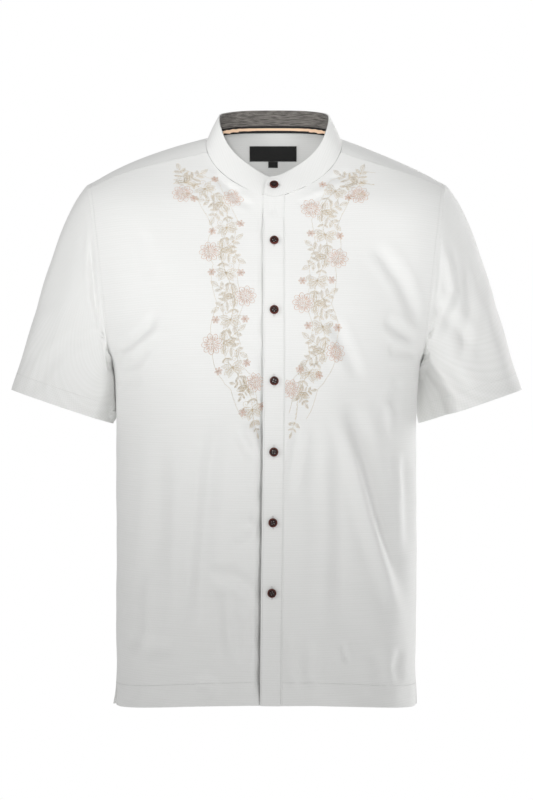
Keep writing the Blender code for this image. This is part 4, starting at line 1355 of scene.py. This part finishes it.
def band_line(side):
    """The stem's points on one side: a wave along the middle of the band."""
    line = even([(x, z, 0) for x, z in BAND], STEM_STEP)[:, :2]
    way = np.gradient(line, axis=0)
    way /= np.linalg.norm(way, axis=1, keepdims=True)
    aside = np.stack([-way[:, 1], way[:, 0]], axis=1)
    run = np.arange(len(line)) * STEM_STEP
    wave = 8.5 * np.sin(run / WAVE * 2 * math.pi + (0.5 if side > 0 else 0.2))
    wave *= 1 - 0.75 * np.clip((run - 300) / 80, 0, 1)
    return line + aside * wave[:, None], way, aside, run, wave


print("stem:", len(band_line(1)[0]), "points on each side")


# %% Laying a motif on the cloth
def lay(stitches, tree, middle, toward):
    """Lay flat stitches on the cloth round a point, with +Y of the motif toward a way."""
    place, normal = middle
    toward = toward - normal * (normal @ toward)
    toward /= np.linalg.norm(toward)
    right = np.cross(toward, normal)
    starts, ends, ups, widths = [], [], [], []
    for x0, y0, x1, y1, width in stitches:
        pair = [place + (right * x + toward * y) * MM for x, y in ((x0, y0), (x1, y1))]
        found = [tree.find_nearest(Vector(p + normal * 2 * MM)) for p in pair]
        if any(f[0] is None or f[3] > 9 * MM for f in found):
            continue
        starts.append(found[0][0][:])
        ends.append(found[1][0][:])
        ups.append(((found[0][1] + found[1][1]) / 2)[:])
        widths.append(width)
    return starts, ends, ups, widths


print("motifs are laid by", lay.__name__)

# %% [markdown]
# Daisies sit outside the bends of the stem and ferns inside them. Between the bends come
# pairs of leaves, curls and small rosettes. The two sides start their wave at slightly
# different places, so that they aren't mirror images.


# %% The whole garland
def garland(side, piece_name):
    """All the stitches of one side, in rose and in tan."""
    piece = shells[piece_name]
    tree = tree_of(piece)
    line, way, aside, run, wave = band_line(side)
    sets = {"rose": [[], [], [], []], "tan": [[], [], [], []]}

    def add(colour, stitches, x, z, direction):
        middle = from_front(tree, x * side * MM, z * MM)
        if middle is None:
            return
        toward = np.array([direction[0] * side, 0, direction[1]], float)
        toward[1] = 0.0
        got = lay(stitches, tree, middle, toward)
        for store, values in zip(sets[colour], got):
            store.extend(values)

    # the stem, in short stitches laid one after another
    for k in range(0, len(line) - 2, 2):
        add("tan", [(0, 0, 0, 3.1, 0.5)], *line[k], way[k])
        if k % 4 == 0:
            add("tan", [(0.9, 0, 0.9, 2.6, 0.4)], *line[k], way[k])
    # a looser line on both sides, in scallops
    for sign in (1, -1):
        swing = 17 + 5.5 * np.abs(np.sin(run / 17.0)) * sign
        swing = np.minimum(swing, 24) * (1 - 0.5 * np.clip((run - 320) / 70, 0, 1))
        rim = line + aside * (sign * swing - 0.6 * wave)[:, None]
        for k in range(4, len(rim) - 6):
            step = rim[k + 1] - rim[k]
            add("tan", [(0, 0, 0, float(np.linalg.norm(step)), 0.42)], *rim[k], step)
    # a daisy outside each bend of the wave, and two ferns inside it
    place = WAVE / 4 * (1.0 if side > 0 else 0.7)
    while place < run[-1] - 8:
        k = int(place / STEM_STEP)
        sign = 1 if wave[k] >= 0 else -1
        out = aside[k] * sign
        low = run[k] > 300
        add("rose", daisy(12.5 if low else 14.2), *(line[k] + out * (12 if low else 15)), out)
        for turn in (0.62, -0.62):
            add("tan", turned(fern(22 if low else 35, 3), turn), *line[k], -out)
            add("tan", turned(outline_leaf(14, 3.4), turn * 2.2), *line[k], out)
        add("tan", turned(outline_leaf(15, 3.6), 0), *line[k], -out)
        place += WAVE / 2
    # leaf pairs, curls and small rosettes on the straight parts between
    place = WAVE / 2 * (1.0 if side > 0 else 0.85)
    while place < run[-1] - 10:
        k = int(place / STEM_STEP)
        for sign in (1, -1):
            out = aside[k] * sign
            low = run[k] > 300
            for slope in (1.3, 0.5, -0.3):
                add("tan", outline_leaf(15, 3.4), *line[k], out + way[k] * slope)
            add("tan", turned(tendril(4.6), 0, 0, 10, mirror=sign), *line[k], out - way[k] * 0.8)
            add("rose", daisy(5.2, 6, 0.5), *(line[k] + out * (13 if low else 19)), out)
        for gap in (-9, 9):
            for sign in (1, -1):
                spot = line[min(max(k + gap, 0), len(line) - 1)]
                add("tan", leaf(8.5, 2.0), *spot, aside[k] * sign + way[k] * 0.7)
        place += WAVE / 2
    add("tan", fern(22, 2), *line[-1], way[-1])
    return sets


for side, node in ((-1, "front_right"), (1, "front_left")):
    sets = garland(side, node)
    for colour, thread in (("rose", ROSE), ("tan", TAN)):
        starts, ends, ups, widths = sets[colour]
        sew(f"garland_{colour}_{node}", starts, ends, ups, widths, thread, lift=0.25)

# %% [markdown]
# ## Floor, light and camera
# The floor and the air are plain and white. One lamp from the left, high up, shows the
# folds, two weaker ones from the front and the right fill them, and one stands behind.
# The camera is 3 m in front at the height of the shirt's middle, with a long lens.

# %% Floor and air
SKY, GLOW = 0.40, 0.40  # how strongly the air and the floor shine
bpy.ops.mesh.primitive_plane_add(size=5, location=(0, 0, -1.34))
floor = bpy.context.object
floor.name = "floor"
bpy.ops.object.transform_apply(location=True, rotation=True, scale=True)
paper = bpy.data.materials.new("pale floor")
paper.use_nodes = True
shader = paper.node_tree.nodes["Principled BSDF"]
shader.inputs["Base Color"].default_value = (0.9, 0.9, 0.9, 1)
shader.inputs["Roughness"].default_value = 0.9
shader.inputs["Emission Color"].default_value = (1, 1, 1, 1)
shader.inputs["Emission Strength"].default_value = GLOW
floor.data.materials.append(paper)
# white all round to the eye, and a softer light than white would give
world = bpy.data.worlds.new("studio")
bpy.context.scene.world = world
world.use_nodes = True
tree = world.node_tree
tree.nodes["Background"].inputs["Color"].default_value = (1, 1, 1, 1)
seen = tree.nodes.new("ShaderNodeLightPath").outputs["Is Camera Ray"]
strength = maths(tree, "MULTIPLY_ADD", seen, 1.0 - SKY, SKY)
tree.links.new(strength, tree.nodes["Background"].inputs["Strength"])
print("air:", SKY, "floor:", GLOW)


# %% Lamps
def lamp(name, place, aim, size, power, spread=180):
    """A soft square studio light; its spread is in degrees."""
    bpy.ops.object.light_add(type="AREA", location=place)
    made = bpy.context.object
    made.name = name
    made.data.size = size
    made.data.energy = power
    made.data.spread = math.radians(spread)
    way = Vector(aim) - Vector(place)
    made.rotation_euler = way.to_track_quat("-Z", "Y").to_euler()
    return made


lamp("key", (-2.0, -1.6, 0.35), (0, 0, -0.15), 0.9, 1.25, 44)
lamp("front", (-0.15, -2.7, -0.12), (0, 0, -0.02), 0.4, 0.66, 24)
lamp("fill", (1.6, -2.2, 0.1), (0.1, 0, -0.25), 1.0, 0.97, 46)
lamp("behind", (2.4, 1.7, 0.3), (0, 0.1, -0.35), 0.8, 40.0)
bpy.context.scene.view_settings.view_transform = "Standard"

# %% Camera
camera = bpy.data.objects.new("camera", bpy.data.cameras.new("camera"))
bpy.context.scene.collection.objects.link(camera)
camera.location = (-0.010, -2.978, -0.335)
camera.rotation_euler = (math.radians(90), 0, 0)
camera.data.lens = 100
camera.data.sensor_width = 36
bpy.context.scene.camera = camera
print("camera at", tuple(round(v, 3) for v in camera.location))
